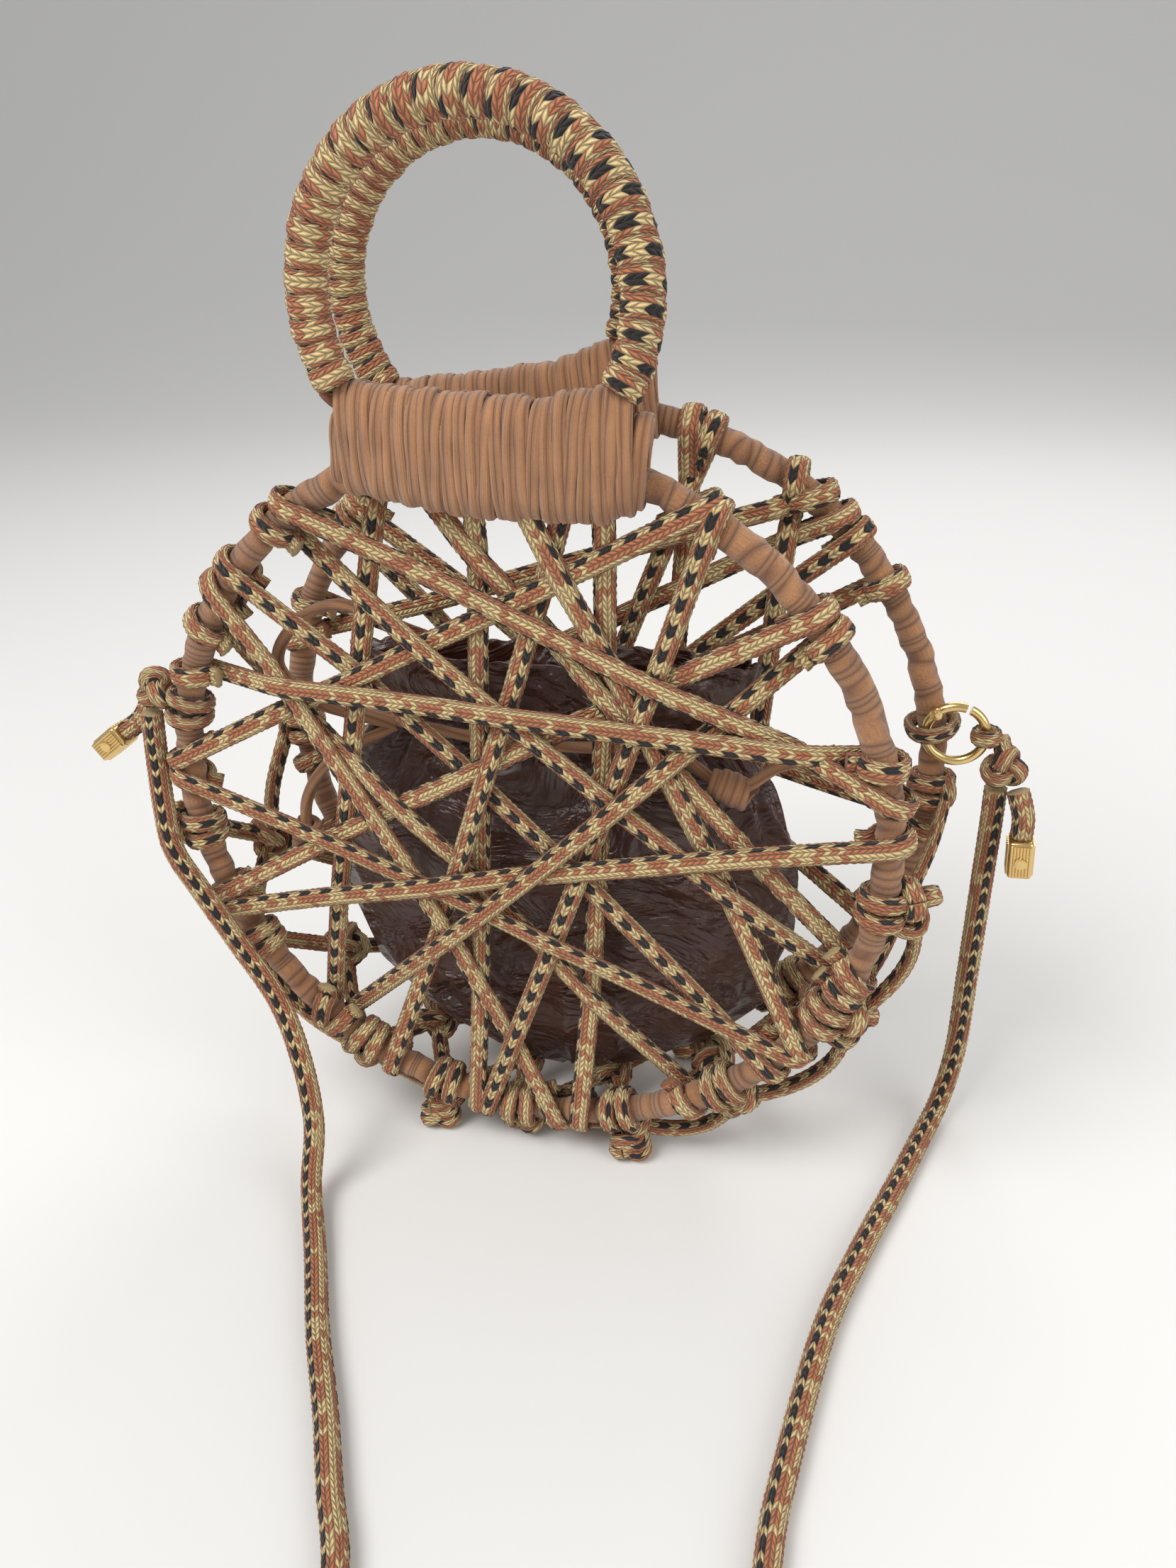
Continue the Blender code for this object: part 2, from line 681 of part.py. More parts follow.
def tail_and_cap(side_name, points):
    """The strap's short tail and the metal cap clamped on its end."""
    route = [place(*p) for p in points]
    tube(f"strap_tail_{side_name}", smooth_curve(route, 8), STRAP_RADIUS, TAIL_SIDES, CORD_LOOK)
    direction = (route[-1] - route[-2]).normalized()
    body = bmesh.new()
    bmesh.ops.create_cube(body, size=1.0)
    bmesh.ops.scale(body, vec=(CAP_WIDTH, CAP_THICK, CAP_LENGTH), verts=body.verts)
    bmesh.ops.bevel(
        body, geom=list(body.edges), offset=CAP_WALL_BEVEL, segments=2, affect="EDGES", profile=0.5
    )
    turn = direction.to_track_quat("Z", "Y").to_matrix().to_4x4()
    middle = route[-1] + direction * (CAP_LENGTH / 2 + GAP)
    shape = Matrix.Translation(middle) @ turn
    mesh = bpy.data.meshes.new("cap")
    body.to_mesh(mesh)
    body.free()
    mesh.transform(shape)
    name = f"end_cap_{side_name}"
    cap = bpy.data.objects.new(name, mesh)
    bpy.context.scene.collection.objects.link(cap)
    mesh.name = name
    mesh.materials.append(material(*GOLD_LOOK))
    mesh.set_sharp_from_angle(angle=math.radians(40))


def arc_points(start, end, count):
    """Points along the clasp's ring, from one angle to another."""
    points = []
    for i in range(count):
        angle = start + (end - start) * i / (count - 1)
        points.append(Vector((CLASP_RADIUS * math.cos(angle), CLASP_RADIUS * math.sin(angle), 0)))
    return points


def disc(radius, low, high, centre, matrix, sides=12):
    """Flat round plate whose axis is the hinge's."""
    verts = []
    for level in (low, high):
        for k in range(sides):
            turn = 2 * math.pi * k / sides
            verts.append(centre + Vector((radius * math.cos(turn), radius * math.sin(turn), level)))
    faces = [tuple(range(sides)), tuple(range(sides, 2 * sides))]
    for k in range(sides):
        m = (k + 1) % sides
        faces.append((k, m, sides + m, sides + k))
    return add_object("disc", verts, faces, GOLD_LOOK, matrix)


def link(start, end, low, high, half_width, matrix):
    """Straight plate between two points of the clasp's plane."""
    ahead = (end - start).normalized()
    side = Vector((-ahead.y, ahead.x, 0)) * half_width
    verts = []
    for level in (low, high):
        for spot in (start + side, end + side, end - side, start - side):
            verts.append(spot + Vector((0, 0, level)))
    faces = [(0, 1, 2, 3), (4, 5, 6, 7), (0, 1, 5, 4), (1, 2, 6, 5), (2, 3, 7, 6), (3, 0, 4, 7)]
    return add_object("link", verts, faces, GOLD_LOOK, matrix)


def clasp():
    """Spring gate ring: the ring has a fork and pin, the gate a tongue that turns on the pin."""
    matrix = Matrix.Translation(place(CLASP_X, CLASP_RISE, CLASP_AHEAD)) @ Matrix.Rotation(
        math.radians(90), 4, "X"
    )
    up = Vector((0, 0, 1))
    pivot = Vector((CLASP_RADIUS * math.cos(PIVOT_ANGLE), CLASP_RADIUS * math.sin(PIVOT_ANGLE), 0))
    step = (CHEEK_RADIUS + CLASP_WIRE * 0.5) / CLASP_RADIUS
    ring_end = RING_END_ANGLE + 2 * math.pi
    ring_points = arc_points(PIVOT_ANGLE + step, ring_end, RING_STATIONS)
    verts, faces = sweep(ring_points, [up] * RING_STATIONS, round_section(CLASP_WIRE, WIRE_SIDES))
    pieces = [add_object("clasp_ring", verts, faces, GOLD_LOOK, matrix)]
    outer = CLASP_WIRE * 0.98
    for low, high in ((CHEEK_INNER, outer), (-outer, -CHEEK_INNER)):
        pieces.append(disc(CHEEK_RADIUS, low, high, pivot, matrix))
        pieces.append(link(pivot, ring_points[1], low, high, CLASP_WIRE * 0.7, matrix))
    reach = CHEEK_INNER + PIN_OVERLAP
    pieces.append(disc(PIN_RADIUS, -reach, reach, pivot, matrix, sides=8))
    join_all("clasp_ring", pieces)
    gate_points = arc_points(PIVOT_ANGLE - step, GATE_END_ANGLE, GATE_STATIONS)
    verts, faces = sweep(gate_points, [up] * GATE_STATIONS, round_section(CLASP_WIRE, WIRE_SIDES))
    gate = [add_object("clasp_gate", verts, faces, GOLD_LOOK, matrix)]
    swing = disc(GATE_REACH, -2 * CLASP_WIRE, 2 * CLASP_WIRE, pivot, matrix, sides=48)
    combine(gate[0], swing, "INTERSECT")
    tongue = CHEEK_RADIUS * 0.9
    gate.append(disc(tongue, -TONGUE_HALF, TONGUE_HALF, pivot, matrix))
    gate.append(link(pivot, gate_points[1], -TONGUE_HALF, TONGUE_HALF, CLASP_WIRE * 0.6, matrix))
    whole = join_all("clasp_gate", gate)
    combine(whole, disc(PIN_RADIUS + GAP, -CLASP_WIRE, CLASP_WIRE, pivot, matrix, sides=8), "DIFFERENCE")


def right_end():
    """Anchor loop on the back hoop, the clasp in it and the strap's knot on the clasp."""
    anchor = collar(
        ANCHOR_ANGLE, ANCHOR_WIDTH, LOOP_THICK, BACK, CORD_LOOK, 8, ANCHOR_STRETCH, ANCHOR_WIDEN
    )
    anchor.name = "anchor_loop"
    anchor.data.name = "anchor_loop"
    clasp()
    sides = 8
    reach = (CLASP_WIRE + 2 * GAP) / math.cos(math.pi / sides) + KNOT_THICK / 2
    centre = place(CLASP_X + CLASP_RADIUS, CLASP_RISE, CLASP_AHEAD)
    points = []
    for k in range(sides):
        turn = 2 * math.pi * (k + 0.5) / sides
        points.append(centre + Vector((reach * math.cos(turn), reach * math.sin(turn), 0)))
    section = flat_section(TURN_WIDTH, KNOT_THICK)
    verts, faces = sweep(points, [Vector((0, 0, 1))] * sides, section, closed=True)
    turn_piece = add_object("turn", verts, faces, CORD_LOOK)
    neck = centre + Vector((reach + KNOT_THICK, 0, 0))
    strap_knot("strap_knot_right", place(*RIGHT_KNOT), RIGHT_KNOT_RADIUS, turn_piece, neck)
    tail_and_cap("right", RIGHT_TAIL)


def strap():
    """The strap's one cord, from the left knot down to the floor, round and up to the right knot."""
    route = smooth_curve([place(*p) for p in STRAP_ROUTE], STRAP_TOTAL_POINTS)
    curve = bpy.data.curves.new("strap", "CURVE")
    curve.dimensions = "3D"
    curve.bevel_depth = STRAP_RADIUS
    curve.bevel_resolution = 2
    curve.use_fill_caps = True
    curve.render_resolution_u = 0
    line = curve.splines.new("POLY")
    line.points.add(len(route) - 1)
    for point, spot in zip(line.points, route):
        point.co = (*spot, 1.0)
    curve.materials.append(material(*CORD_LOOK))
    thing = bpy.data.objects.new("strap", curve)
    bpy.context.scene.collection.objects.link(thing)


pouch()
drawstring()
left_end()
right_end()
strap()
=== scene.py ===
"""Round cord bag: two laced hoops, wrapped handle rings, knotted gusset, satin pouch and cord strap."""
import math

import bmesh
import bpy
import numpy as np
from mathutils import Matrix, Vector


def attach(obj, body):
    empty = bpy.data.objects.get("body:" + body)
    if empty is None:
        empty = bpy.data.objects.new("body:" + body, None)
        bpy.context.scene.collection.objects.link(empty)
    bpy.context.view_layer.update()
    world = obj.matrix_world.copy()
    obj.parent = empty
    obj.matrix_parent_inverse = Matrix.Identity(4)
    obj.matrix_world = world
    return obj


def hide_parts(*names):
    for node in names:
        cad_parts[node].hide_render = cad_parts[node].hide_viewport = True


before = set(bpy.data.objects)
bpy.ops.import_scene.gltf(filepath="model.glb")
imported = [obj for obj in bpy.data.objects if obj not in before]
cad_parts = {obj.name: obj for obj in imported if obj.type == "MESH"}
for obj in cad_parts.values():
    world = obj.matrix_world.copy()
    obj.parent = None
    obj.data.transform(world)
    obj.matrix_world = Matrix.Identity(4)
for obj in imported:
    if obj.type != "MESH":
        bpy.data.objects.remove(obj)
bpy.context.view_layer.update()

bpy.ops.object.select_all(action="DESELECT")

# Camera
# The photographer stands close above the bag and looks down at it by some 26 degrees.
# The lens is a phone's, and the picture isn't cropped.
bpy.ops.object.camera_add(location=(0.1145, -0.3567, 0.3213))
camera = bpy.context.object
camera.name = "camera"
camera.data.lens = 27.06
camera.data.sensor_width = 36.0
camera.data.clip_start = 0.01
right = Vector((0.962, 0.2705, -0.0362)).normalized()
ahead = Vector((-0.2585, 0.8607, -0.4386)).normalized()
up = right.cross(ahead).normalized()
turn = Matrix((ahead.cross(up), up, -ahead)).transposed().to_4x4()
camera.matrix_world = Matrix.Translation(camera.location) @ turn
bpy.context.scene.camera = camera

# Knitted cord
# All cords are one narrow flat knit: cream edges, rust chains, and a chain of black dashes and cream.
# A length is swept as a tube with its chains of stitches standing up from it, and carries stitches along
# and chains around as its UV map.
HOOP_RADIUS = 0.122
HOOP_TUBE = 0.0047
HOOP_HEIGHT = 0.1378
DEPTH_MIDDLE = 0.02875
SIDE_SHIFT = -0.0100
BACK_TURN = 10.5
BACK_SHIFT = (0.0112, 0.0015, -0.062)
STITCH = 0.0022
DASH_SHARE = 0.45
CREAM = (0.850, 0.620, 0.290)
RUST = (0.560, 0.200, 0.085)
BLACK = (0.014, 0.010, 0.008)
GROOVE_PAINTED_SHADE = (0.030, 0.016, 0.008)


def at_bag(points, shift=(SIDE_SHIFT, -DEPTH_MIDDLE, HOOP_HEIGHT)):
    """World points from distances right of, above and in front of the front hoop's centre."""
    x, rise, forward = np.atleast_2d(np.asarray(points, float)).T
    return np.stack([x, -forward, rise], 1) + shift


def on_side(points, back, direction=False):
    """World points or directions from the plane of one of the two hoops."""
    points = np.atleast_2d(np.asarray(points, float))
    if back:
        c, s = math.cos(math.radians(BACK_TURN)), math.sin(math.radians(BACK_TURN))
        x, y, z = points.T
        points = np.stack([x * c - y * s, x * s + y * c, z], 1)
        if not direction:
            points = points + BACK_SHIFT
    return at_bag(points, (0, 0, 0)) if direction else at_bag(points)


def polar(angle, far=1.0, forward=0.0):
    """A point in a hoop's plane, at an angle in degrees round its centre."""
    turn = math.radians(angle)
    return np.array((far * math.cos(turn), far * math.sin(turn), forward))


def smooth_through(points, per=12):
    """Dense points of a Catmull-Rom curve through points, one row each."""
    points = np.asarray(points, float)
    ends = np.vstack([2 * points[0] - points[1], points, 2 * points[-1] - points[-2]])
    dense = []
    for i in range(1, len(ends) - 2):
        a, b, c, d = ends[i - 1:i + 3]
        t = (np.arange(per) / per)[:, None]
        dense.append(0.5 * (
            2 * b + (c - a) * t + (2 * a - 5 * b + 4 * c - d) * t**2 + (3 * b - a - 3 * c + d) * t**3
        ))
    return np.vstack(dense + [points[-1:]])


def evenly(points, step, *others):
    """points spaced evenly at about step, and others read at the same places."""
    length = np.r_[0, np.cumsum(np.linalg.norm(np.diff(points, axis=0), axis=1))]
    count = max(4, int(round(length[-1] / step)) + 1)
    goal = np.linspace(0, length[-1], count)
    return goal, [np.stack([np.interp(goal, length, a[:, i]) for i in range(a.shape[1])], 1)
                  for a in (points,) + others]


def unit(rows):
    return rows / np.maximum(np.linalg.norm(rows, axis=1, keepdims=True), 1e-9)


def knit_run(points, normals, width, thick, roll=0.0, twist=0.0):
    """A length to sweep: its line, its flat face's normals, its size, and where its chains start and turn."""
    return {"points": points, "normals": normals, "width": width, "thick": thick, "roll": roll, "twist": twist}


def swept(name, runs, finish, around=20, step=0.0011, wales=8, relief=0.00030, stitch=STITCH, floor=0.0003):
    """One mesh of several lengths of knit, each given by knit_run."""
    coords, faces, uvs = [], [], []
    base = 0
    k = np.arange(around)
    m = (k + 1) % around
    turn = 2 * math.pi * k / around
    cos, sin = np.cos(turn), np.sin(turn)
    flat = np.sign(cos) * np.abs(cos) ** 0.85
    tall = np.sign(sin) * np.abs(sin) ** 0.85
    for run in runs:
        goal, (line, normal) = evenly(run["points"], step, run["normals"])
        tangent = unit(np.gradient(line, axis=0))
        side = unit(np.cross(tangent, normal))
        normal = np.cross(side, tangent)
        count = len(line)
        roll = run["roll"] + run["twist"] * goal
        chain = k * wales / around + roll[:, None]
        next_chain = (k + 1) * wales / around + roll[:, None]
        ridge = np.abs(np.sin(math.pi * chain))
        slant = goal[:, None] / stitch + 0.5 * (np.floor(chain) % 2) + 0.4 * ridge
        bump = relief * (0.9 * ridge + 1.2 * np.abs(np.sin(math.pi * slant)) - 0.9)
        wide = run["width"] / 2 * flat + bump * cos
        thick = run["thick"] / 2 * tall + bump * sin
        ring = line[:, None] + side[:, None] * wide[..., None] + normal[:, None] * thick[..., None]
        coords += [ring.reshape(-1, 3), ring[[0, -1]].mean(1)]
        row = np.arange(count - 1)[:, None] * around + base
        faces.append(np.stack([row + k, row + around + k, row + around + m, row + m], -1).reshape(-1, 4))
        along = np.broadcast_to(goal[:, None] / stitch, chain.shape)
        uvs.append(np.stack([
            np.stack([along[:-1], chain[:-1]], -1), np.stack([along[1:], chain[1:]], -1),
            np.stack([along[1:], next_chain[1:]], -1), np.stack([along[:-1], next_chain[:-1]], -1),
        ], -2).reshape(-1, 2))
        for last in (0, 1):
            start = base + last * (count - 1) * around
            tip = base + count * around + last
            fan = np.stack([start + k, start + m, np.full(around, tip)], -1)
            faces.append(fan[:, ::-1] if last else fan)
            uvs.append(np.tile([[last * goal[-1] / stitch, 0.0]], (3 * around, 1)))
        base += count * around + 2
    coords = np.vstack(coords)
    coords[:, 2] = np.maximum(coords[:, 2], floor)
    sizes = np.concatenate([np.full(len(block), block.shape[1]) for block in faces])
    loops = np.concatenate([block.reshape(-1) for block in faces])
    mesh = bpy.data.meshes.new(name)
    mesh.vertices.add(len(coords))
    mesh.vertices.foreach_set("co", coords.reshape(-1))
    mesh.loops.add(len(loops))
    mesh.loops.foreach_set("vertex_index", loops.astype(np.int32))
    mesh.polygons.add(len(sizes))
    mesh.polygons.foreach_set("loop_start", (np.cumsum(sizes) - sizes).astype(np.int32))
    layer = mesh.uv_layers.new(name="UVMap")
    layer.data.foreach_set("uv", np.vstack(uvs).reshape(-1))
    mesh.update(calc_edges=True)
    mesh.validate()
    mesh.shade_smooth()
    mesh.materials.append(finish)
    piece = bpy.data.objects.new(name, mesh)
    bpy.context.scene.collection.objects.link(piece)
    return piece


def shader_math(tree, kind, *values):
    """A Math node fed by numbers or sockets."""
    node = tree.nodes.new("ShaderNodeMath")
    node.operation = kind
    for socket, value in zip(node.inputs, values):
        if isinstance(value, (int, float)):
            socket.default_value = value
        else:
            tree.links.new(value, socket)
    return node.outputs[0]


def mixed(tree, factor, first, second):
    """A colour between two colours or sockets."""
    node = tree.nodes.new("ShaderNodeMix")
    node.data_type = "RGBA"
    for socket, value in ((node.inputs[0], factor), (node.inputs[6], first), (node.inputs[7], second)):
        if isinstance(value, tuple):
            socket.default_value = (*value, 1.0)
        elif isinstance(value, float):
            socket.default_value = value
        else:
            tree.links.new(value, socket)
    return node.outputs[2]


def fresh_material(name, settings):
    """A new material, with some of its shader's inputs set."""
    made = bpy.data.materials.new(name)
    made.use_nodes = True
    tree = made.node_tree
    shader = tree.nodes["Principled BSDF"]
    for socket, value in settings.items():
        shader.inputs[socket].default_value = value
    return made, tree, shader


def noise(tree, vector=None, dimensions="3D", **settings):
    """A noise texture's value, at the object's own coordinates unless a place is given."""
    node = tree.nodes.new("ShaderNodeTexNoise")
    node.noise_dimensions = dimensions
    for socket, value in settings.items():
        node.inputs[socket].default_value = value
    if vector is None:
        vector = tree.nodes.new("ShaderNodeTexCoord").outputs["Object"]
    tree.links.new(vector, node.inputs["Vector"])
    return node.outputs[0]


def stretched(tree, vector, scale):
    """A texture's place, scaled by its own amount each way."""
    node = tree.nodes.new("ShaderNodeMapping")
    node.inputs["Scale"].default_value = scale
    tree.links.new(vector, node.inputs["Vector"])
    return node.outputs[0]


def ridged(tree, value, pace):
    """Rounded ridges: the size of the sine of value times pace."""
    wave = shader_math(tree, "SINE", shader_math(tree, "MULTIPLY", value, pace))
    return shader_math(tree, "ABSOLUTE", wave)


def uv_place(tree):
    """The UV map's place, and its two parts: along a length and across it."""
    place = tree.nodes.new("ShaderNodeUVMap")
    place.uv_map = "UVMap"
    split = tree.nodes.new("ShaderNodeSeparateXYZ")
    tree.links.new(place.outputs[0], split.inputs[0])
    return place.outputs[0], split.outputs[0], split.outputs[1]


def bumped(tree, shader, height, strength, distance):
    bump = tree.nodes.new("ShaderNodeBump")
    bump.inputs["Strength"].default_value = strength
    bump.inputs["Distance"].default_value = distance
    tree.links.new(height, bump.inputs["Height"])
    tree.links.new(bump.outputs["Normal"], shader.inputs["Normal"])


def knit_finish(name, dash_stitches):
    """The cord's stitches, from its UV map: stitches along, chains around, with painted shade in the grooves
    between them.
    """
    made, tree, shader = fresh_material(
        name, {"Roughness": 0.88, "Sheen Weight": 0.12, "Sheen Roughness": 0.50})
    along, across = uv_place(tree)[1:]
    chain = shader_math(tree, "FLOOR", across)
    inside = shader_math(tree, "FRACT", across)
    off_middle = shader_math(tree, "ABSOLUTE", shader_math(tree, "SUBTRACT", inside, 0.5))
    vee = shader_math(tree, "ADD", along, shader_math(tree, "MULTIPLY", off_middle, 1.5))
    vee = shader_math(tree, "ADD", vee, shader_math(tree, "MULTIPLY", chain, 0.37))
    stitch_number = shader_math(tree, "FLOOR", vee)
    kind = shader_math(tree, "FLOORED_MODULO", chain, 4.0)
    is_edge = shader_math(tree, "LESS_THAN", kind, 0.5)
    is_dashed = shader_math(tree, "COMPARE", kind, 2.0, 0.4)
    dash = shader_math(tree, "FRACT", shader_math(tree, "DIVIDE", stitch_number, dash_stitches))
    is_black = shader_math(tree, "LESS_THAN", dash, DASH_SHARE)
    stitch_spot = tree.nodes.new("ShaderNodeCombineXYZ")
    tree.links.new(stitch_number, stitch_spot.inputs[0])
    tree.links.new(chain, stitch_spot.inputs[1])
    chance = tree.nodes.new("ShaderNodeTexWhiteNoise")
    tree.links.new(stitch_spot.outputs[0], chance.inputs["Vector"])
    mostly_rust = mixed(tree, shader_math(tree, "GREATER_THAN", chance.outputs[0], 0.72), RUST, CREAM)
    mostly_cream = mixed(tree, shader_math(tree, "GREATER_THAN", chance.outputs[0], 0.80), CREAM, RUST)
    colour = mixed(tree, is_edge, mostly_rust, mostly_cream)
    colour = mixed(tree, is_dashed, colour, mixed(tree, is_black, CREAM, BLACK))
    fibre = noise(tree, Scale=900.0, Detail=3.0)
    shift = tree.nodes.new("ShaderNodeHueSaturation")
    tree.links.new(shader_math(tree, "MULTIPLY_ADD", fibre, 0.7, 0.62), shift.inputs["Value"])
    tree.links.new(colour, shift.inputs["Color"])
    leg = shader_math(tree, "POWER", ridged(tree, across, 2 * math.pi), 0.6)
    swell = shader_math(tree, "POWER", ridged(tree, shader_math(tree, "FRACT", vee), math.pi), 0.5)
    height = shader_math(tree, "MULTIPLY", leg, swell)
    # Painted shade: each stitch darkens towards the dark groove colour at its edges, where shade falls between
    # stitches.
    shade = shader_math(tree, "MULTIPLY_ADD", height, 0.70, 0.42)
    tree.links.new(mixed(tree, shade, GROOVE_PAINTED_SHADE, shift.outputs[0]), shader.inputs["Base Color"])
    bumped(tree, shader, shader_math(tree, "MULTIPLY_ADD", fibre, 0.5, height), 1.0, 0.0011)
    return made


knit = knit_finish("knitted_cord_finish", 4.0)
strap_knit = knit_finish("strap_cord_finish", 3.0)

# Hoops
# Two craft hoops of 25 cm, wound closely with tan jersey yarn.
# Each is a ring whose surface is moved into some 170 slanted turns of yarn.
JERSEY = (0.560, 0.265, 0.108)
JERSEY_SHADE = (0.150, 0.058, 0.022)
WRAP_PITCH = 0.0044


def jersey_finish(name, turns_show):
    """Jersey yarn: rolled cloth with fine lines along it, darker with painted shade where turns meet."""
    made, tree, shader = fresh_material(name, {"Roughness": 0.9, "Sheen Weight": 0.3, "Sheen Roughness": 0.6})
    place, along, across = uv_place(tree)
    ridge, roundness, grain = (along, 0.8, (16.0, 3.0, 1.0)) if turns_show else (across, 0.5, (0.8, 9.0, 1.0))
    swell = shader_math(tree, "POWER", ridged(tree, ridge, math.pi), roundness)
    lines = noise(tree, stretched(tree, place, grain), "2D", Scale=1.0, Detail=3.0)
    patches = noise(tree, Scale=70.0)
    fuzz = noise(tree, Scale=1500.0)
    light = shader_math(tree, "MULTIPLY_ADD", patches, 0.7, shader_math(tree, "MULTIPLY", lines, 0.6))
    light = shader_math(tree, "MULTIPLY_ADD", fuzz, 0.3, light)
    # Painted shade: the colour darkens towards JERSEY_SHADE in the crevices between wound turns, and along the
    # rolled folds of a strip; lines, patches and fuzz are the yarn's own tone.
    light = shader_math(tree, "MULTIPLY", shader_math(tree, "SUBTRACT", light, 0.22), swell)
    tree.links.new(mixed(tree, light, JERSEY_SHADE, JERSEY), shader.inputs["Base Color"])
    height = shader_math(tree, "MULTIPLY_ADD", lines, 0.9, swell)
    height = shader_math(tree, "MULTIPLY_ADD", fuzz, 0.3, height)
    bumped(tree, shader, height, 0.8, 0.0006)
    return made


wrap_jersey = jersey_finish("hoop_wrap_jersey", True)
strip_jersey = jersey_finish("jersey_strip_finish", False)


def unbroken(angles):
    """The angles at the corners of each face, with no jump of a full turn between them."""
    off = angles - angles[:, :1]
    return angles - 2 * math.pi * np.sign(off) * (np.abs(off) > 3)

def wound_hoop(name, back, seed):
    """A hoop wound with yarn: 1100 rings of a tube, their surface moved into turns."""
    rings, sides = 1100, 18
    bpy.ops.mesh.primitive_torus_add(
        major_segments=rings, minor_segments=sides, major_radius=HOOP_RADIUS, minor_radius=HOOP_TUBE,
        generate_uvs=True,
    )
    hoop = bpy.context.object
    hoop.name = name
    mesh = hoop.data
    coords = np.empty(len(mesh.vertices) * 3)
    mesh.vertices.foreach_get("co", coords)
    coords = coords.reshape(-1, 3)
    angle = np.arctan2(coords[:, 1], coords[:, 0]) % (2 * math.pi)
    flat = np.hypot(coords[:, 0], coords[:, 1])
    around = np.arctan2(coords[:, 2], flat - HOOP_RADIUS)
    turns = round(2 * math.pi * HOOP_RADIUS / WRAP_PITCH)
    rng = np.random.default_rng(seed)
    waves = rng.uniform(0, 2 * math.pi, 5)

    def phase_at(spot, about):
        uneven = sum(w * np.sin(n * spot + a) for w, n, a in zip(
            (1.1, 0.8, 0.55, 0.35, 0.28), (9, 23, 47, 91, 140), waves))
        return turns * spot / (2 * math.pi) + uneven + about / (2 * math.pi) + 0.22 * np.sin(about)

    phase = phase_at(angle, around)
    number = np.floor(phase)
    lift = np.abs(np.sin(math.pi * phase)) ** 0.6
    own = 0.5 + 0.5 * np.sin(number * 12.9898 + seed)
    tube = HOOP_TUBE - 0.00105 + 0.0011 * lift + 0.0005 * own * lift
    coords[:, 0] = (HOOP_RADIUS + tube * np.cos(around)) * np.cos(angle)
    coords[:, 1] = (HOOP_RADIUS + tube * np.cos(around)) * np.sin(angle)
    coords[:, 2] = tube * np.sin(around)
    loops = np.empty(len(mesh.loops), np.int32)
    mesh.loops.foreach_get("vertex_index", loops)
    quads = loops.reshape(-1, 4)
    spot, about = unbroken(angle[quads]), unbroken(around[quads])
    uv = np.stack([phase_at(spot, about), about * 2], -1)
    mesh.uv_layers[0].data.foreach_set("uv", uv.reshape(-1))
    mesh.uv_layers[0].name = "UVMap"
    mesh.vertices.foreach_set("co", on_side(coords, back).reshape(-1))
    mesh.update()
    mesh.shade_smooth()
    mesh.materials.clear()
    mesh.materials.append(wrap_jersey)
    return hoop


for part, back, seed in (("front", False, 3), ("back", True, 8)):
    hoop = wound_hoop(f"{part}_hoop_wound", back, seed)
    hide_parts(f"{part}_hoop")
    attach(hoop, "bag")

# Handle rings
# Two wooden rings, wound side by side with the knitted cord, slightly slanted.
# The cord is one long coil round the ring, from one end of the lashing to the other.
HANDLE_RADIUS = 0.0482
HANDLE_RISE = 0.163
HANDLE_AHEAD = 0.0064
COIL_RADIUS = 0.0047


def handle_coil(name, back, turns, width, open_angle):
    """The cord's coil round a ring, which leaves open_angle bare on each side of the ring's lowest point."""
    count = turns * 20
    spot = np.linspace(math.radians(open_angle - 90), math.radians(270 - open_angle), count)
    about = np.linspace(0, turns * 2 * math.pi, count)
    lean = spot + 0.030 * np.sin(about + 0.6)
    reach = COIL_RADIUS * (1 + 0.05 * np.sin(about * 0.37) * np.sin(about * 0.11 + 1))
    far = HANDLE_RADIUS + reach * np.cos(about)
    points = np.stack([
        far * np.cos(lean), far * np.sin(lean) + HANDLE_RISE, HANDLE_AHEAD + reach * np.sin(about)], 1)
    normals = np.stack([np.cos(about) * np.cos(spot), np.cos(about) * np.sin(spot), np.sin(about)], 1)
    run = knit_run(on_side(points, back), on_side(normals, back, True), width, 0.0030, twist=3.0)
    return swept(name, [run], knit, around=20, step=0.0012, relief=0.00026)


for part, back, turns, width, open_angle in (
    ("front", False, 31, 0.0068, 61), ("back", True, 38, 0.0056, 61),
):
    handle = handle_coil(f"{part}_handle_wound", back, turns, width, open_angle)
    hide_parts(f"{part}_handle")
    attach(handle, "bag")

# Lashing
# Each ring is bound to its hoop with some two dozen turns of jersey strip, pulled tight side by side.
# Every turn is a closed loop of rolled cloth, each with its own slant, height and width.
# At both ends three smaller turns close the lashing.
LASHING_HALF = 0.047
LASHING_RISE = 0.018
LASHING_DEPTH = 0.0095
LASHING_TURNS = 26
LASHING_AHEAD = 0.0032
LASHING_ALONG = (-0.96, -0.88, -0.60, -0.10, 0.38, 0.72, 0.92, 1.00)
LASHING_LOW = (-0.50, -0.72, -0.86, -1.04, -1.08, -1.10, -0.98, -0.80)
LASHING_TOP = (0.60, 1.10, 1.00, 0.89, 0.83, 0.98, 1.08, 0.40)
LASHING_DEEP = (0.62, 0.86, 0.96, 1.00, 1.00, 0.94, 0.86, 0.62)


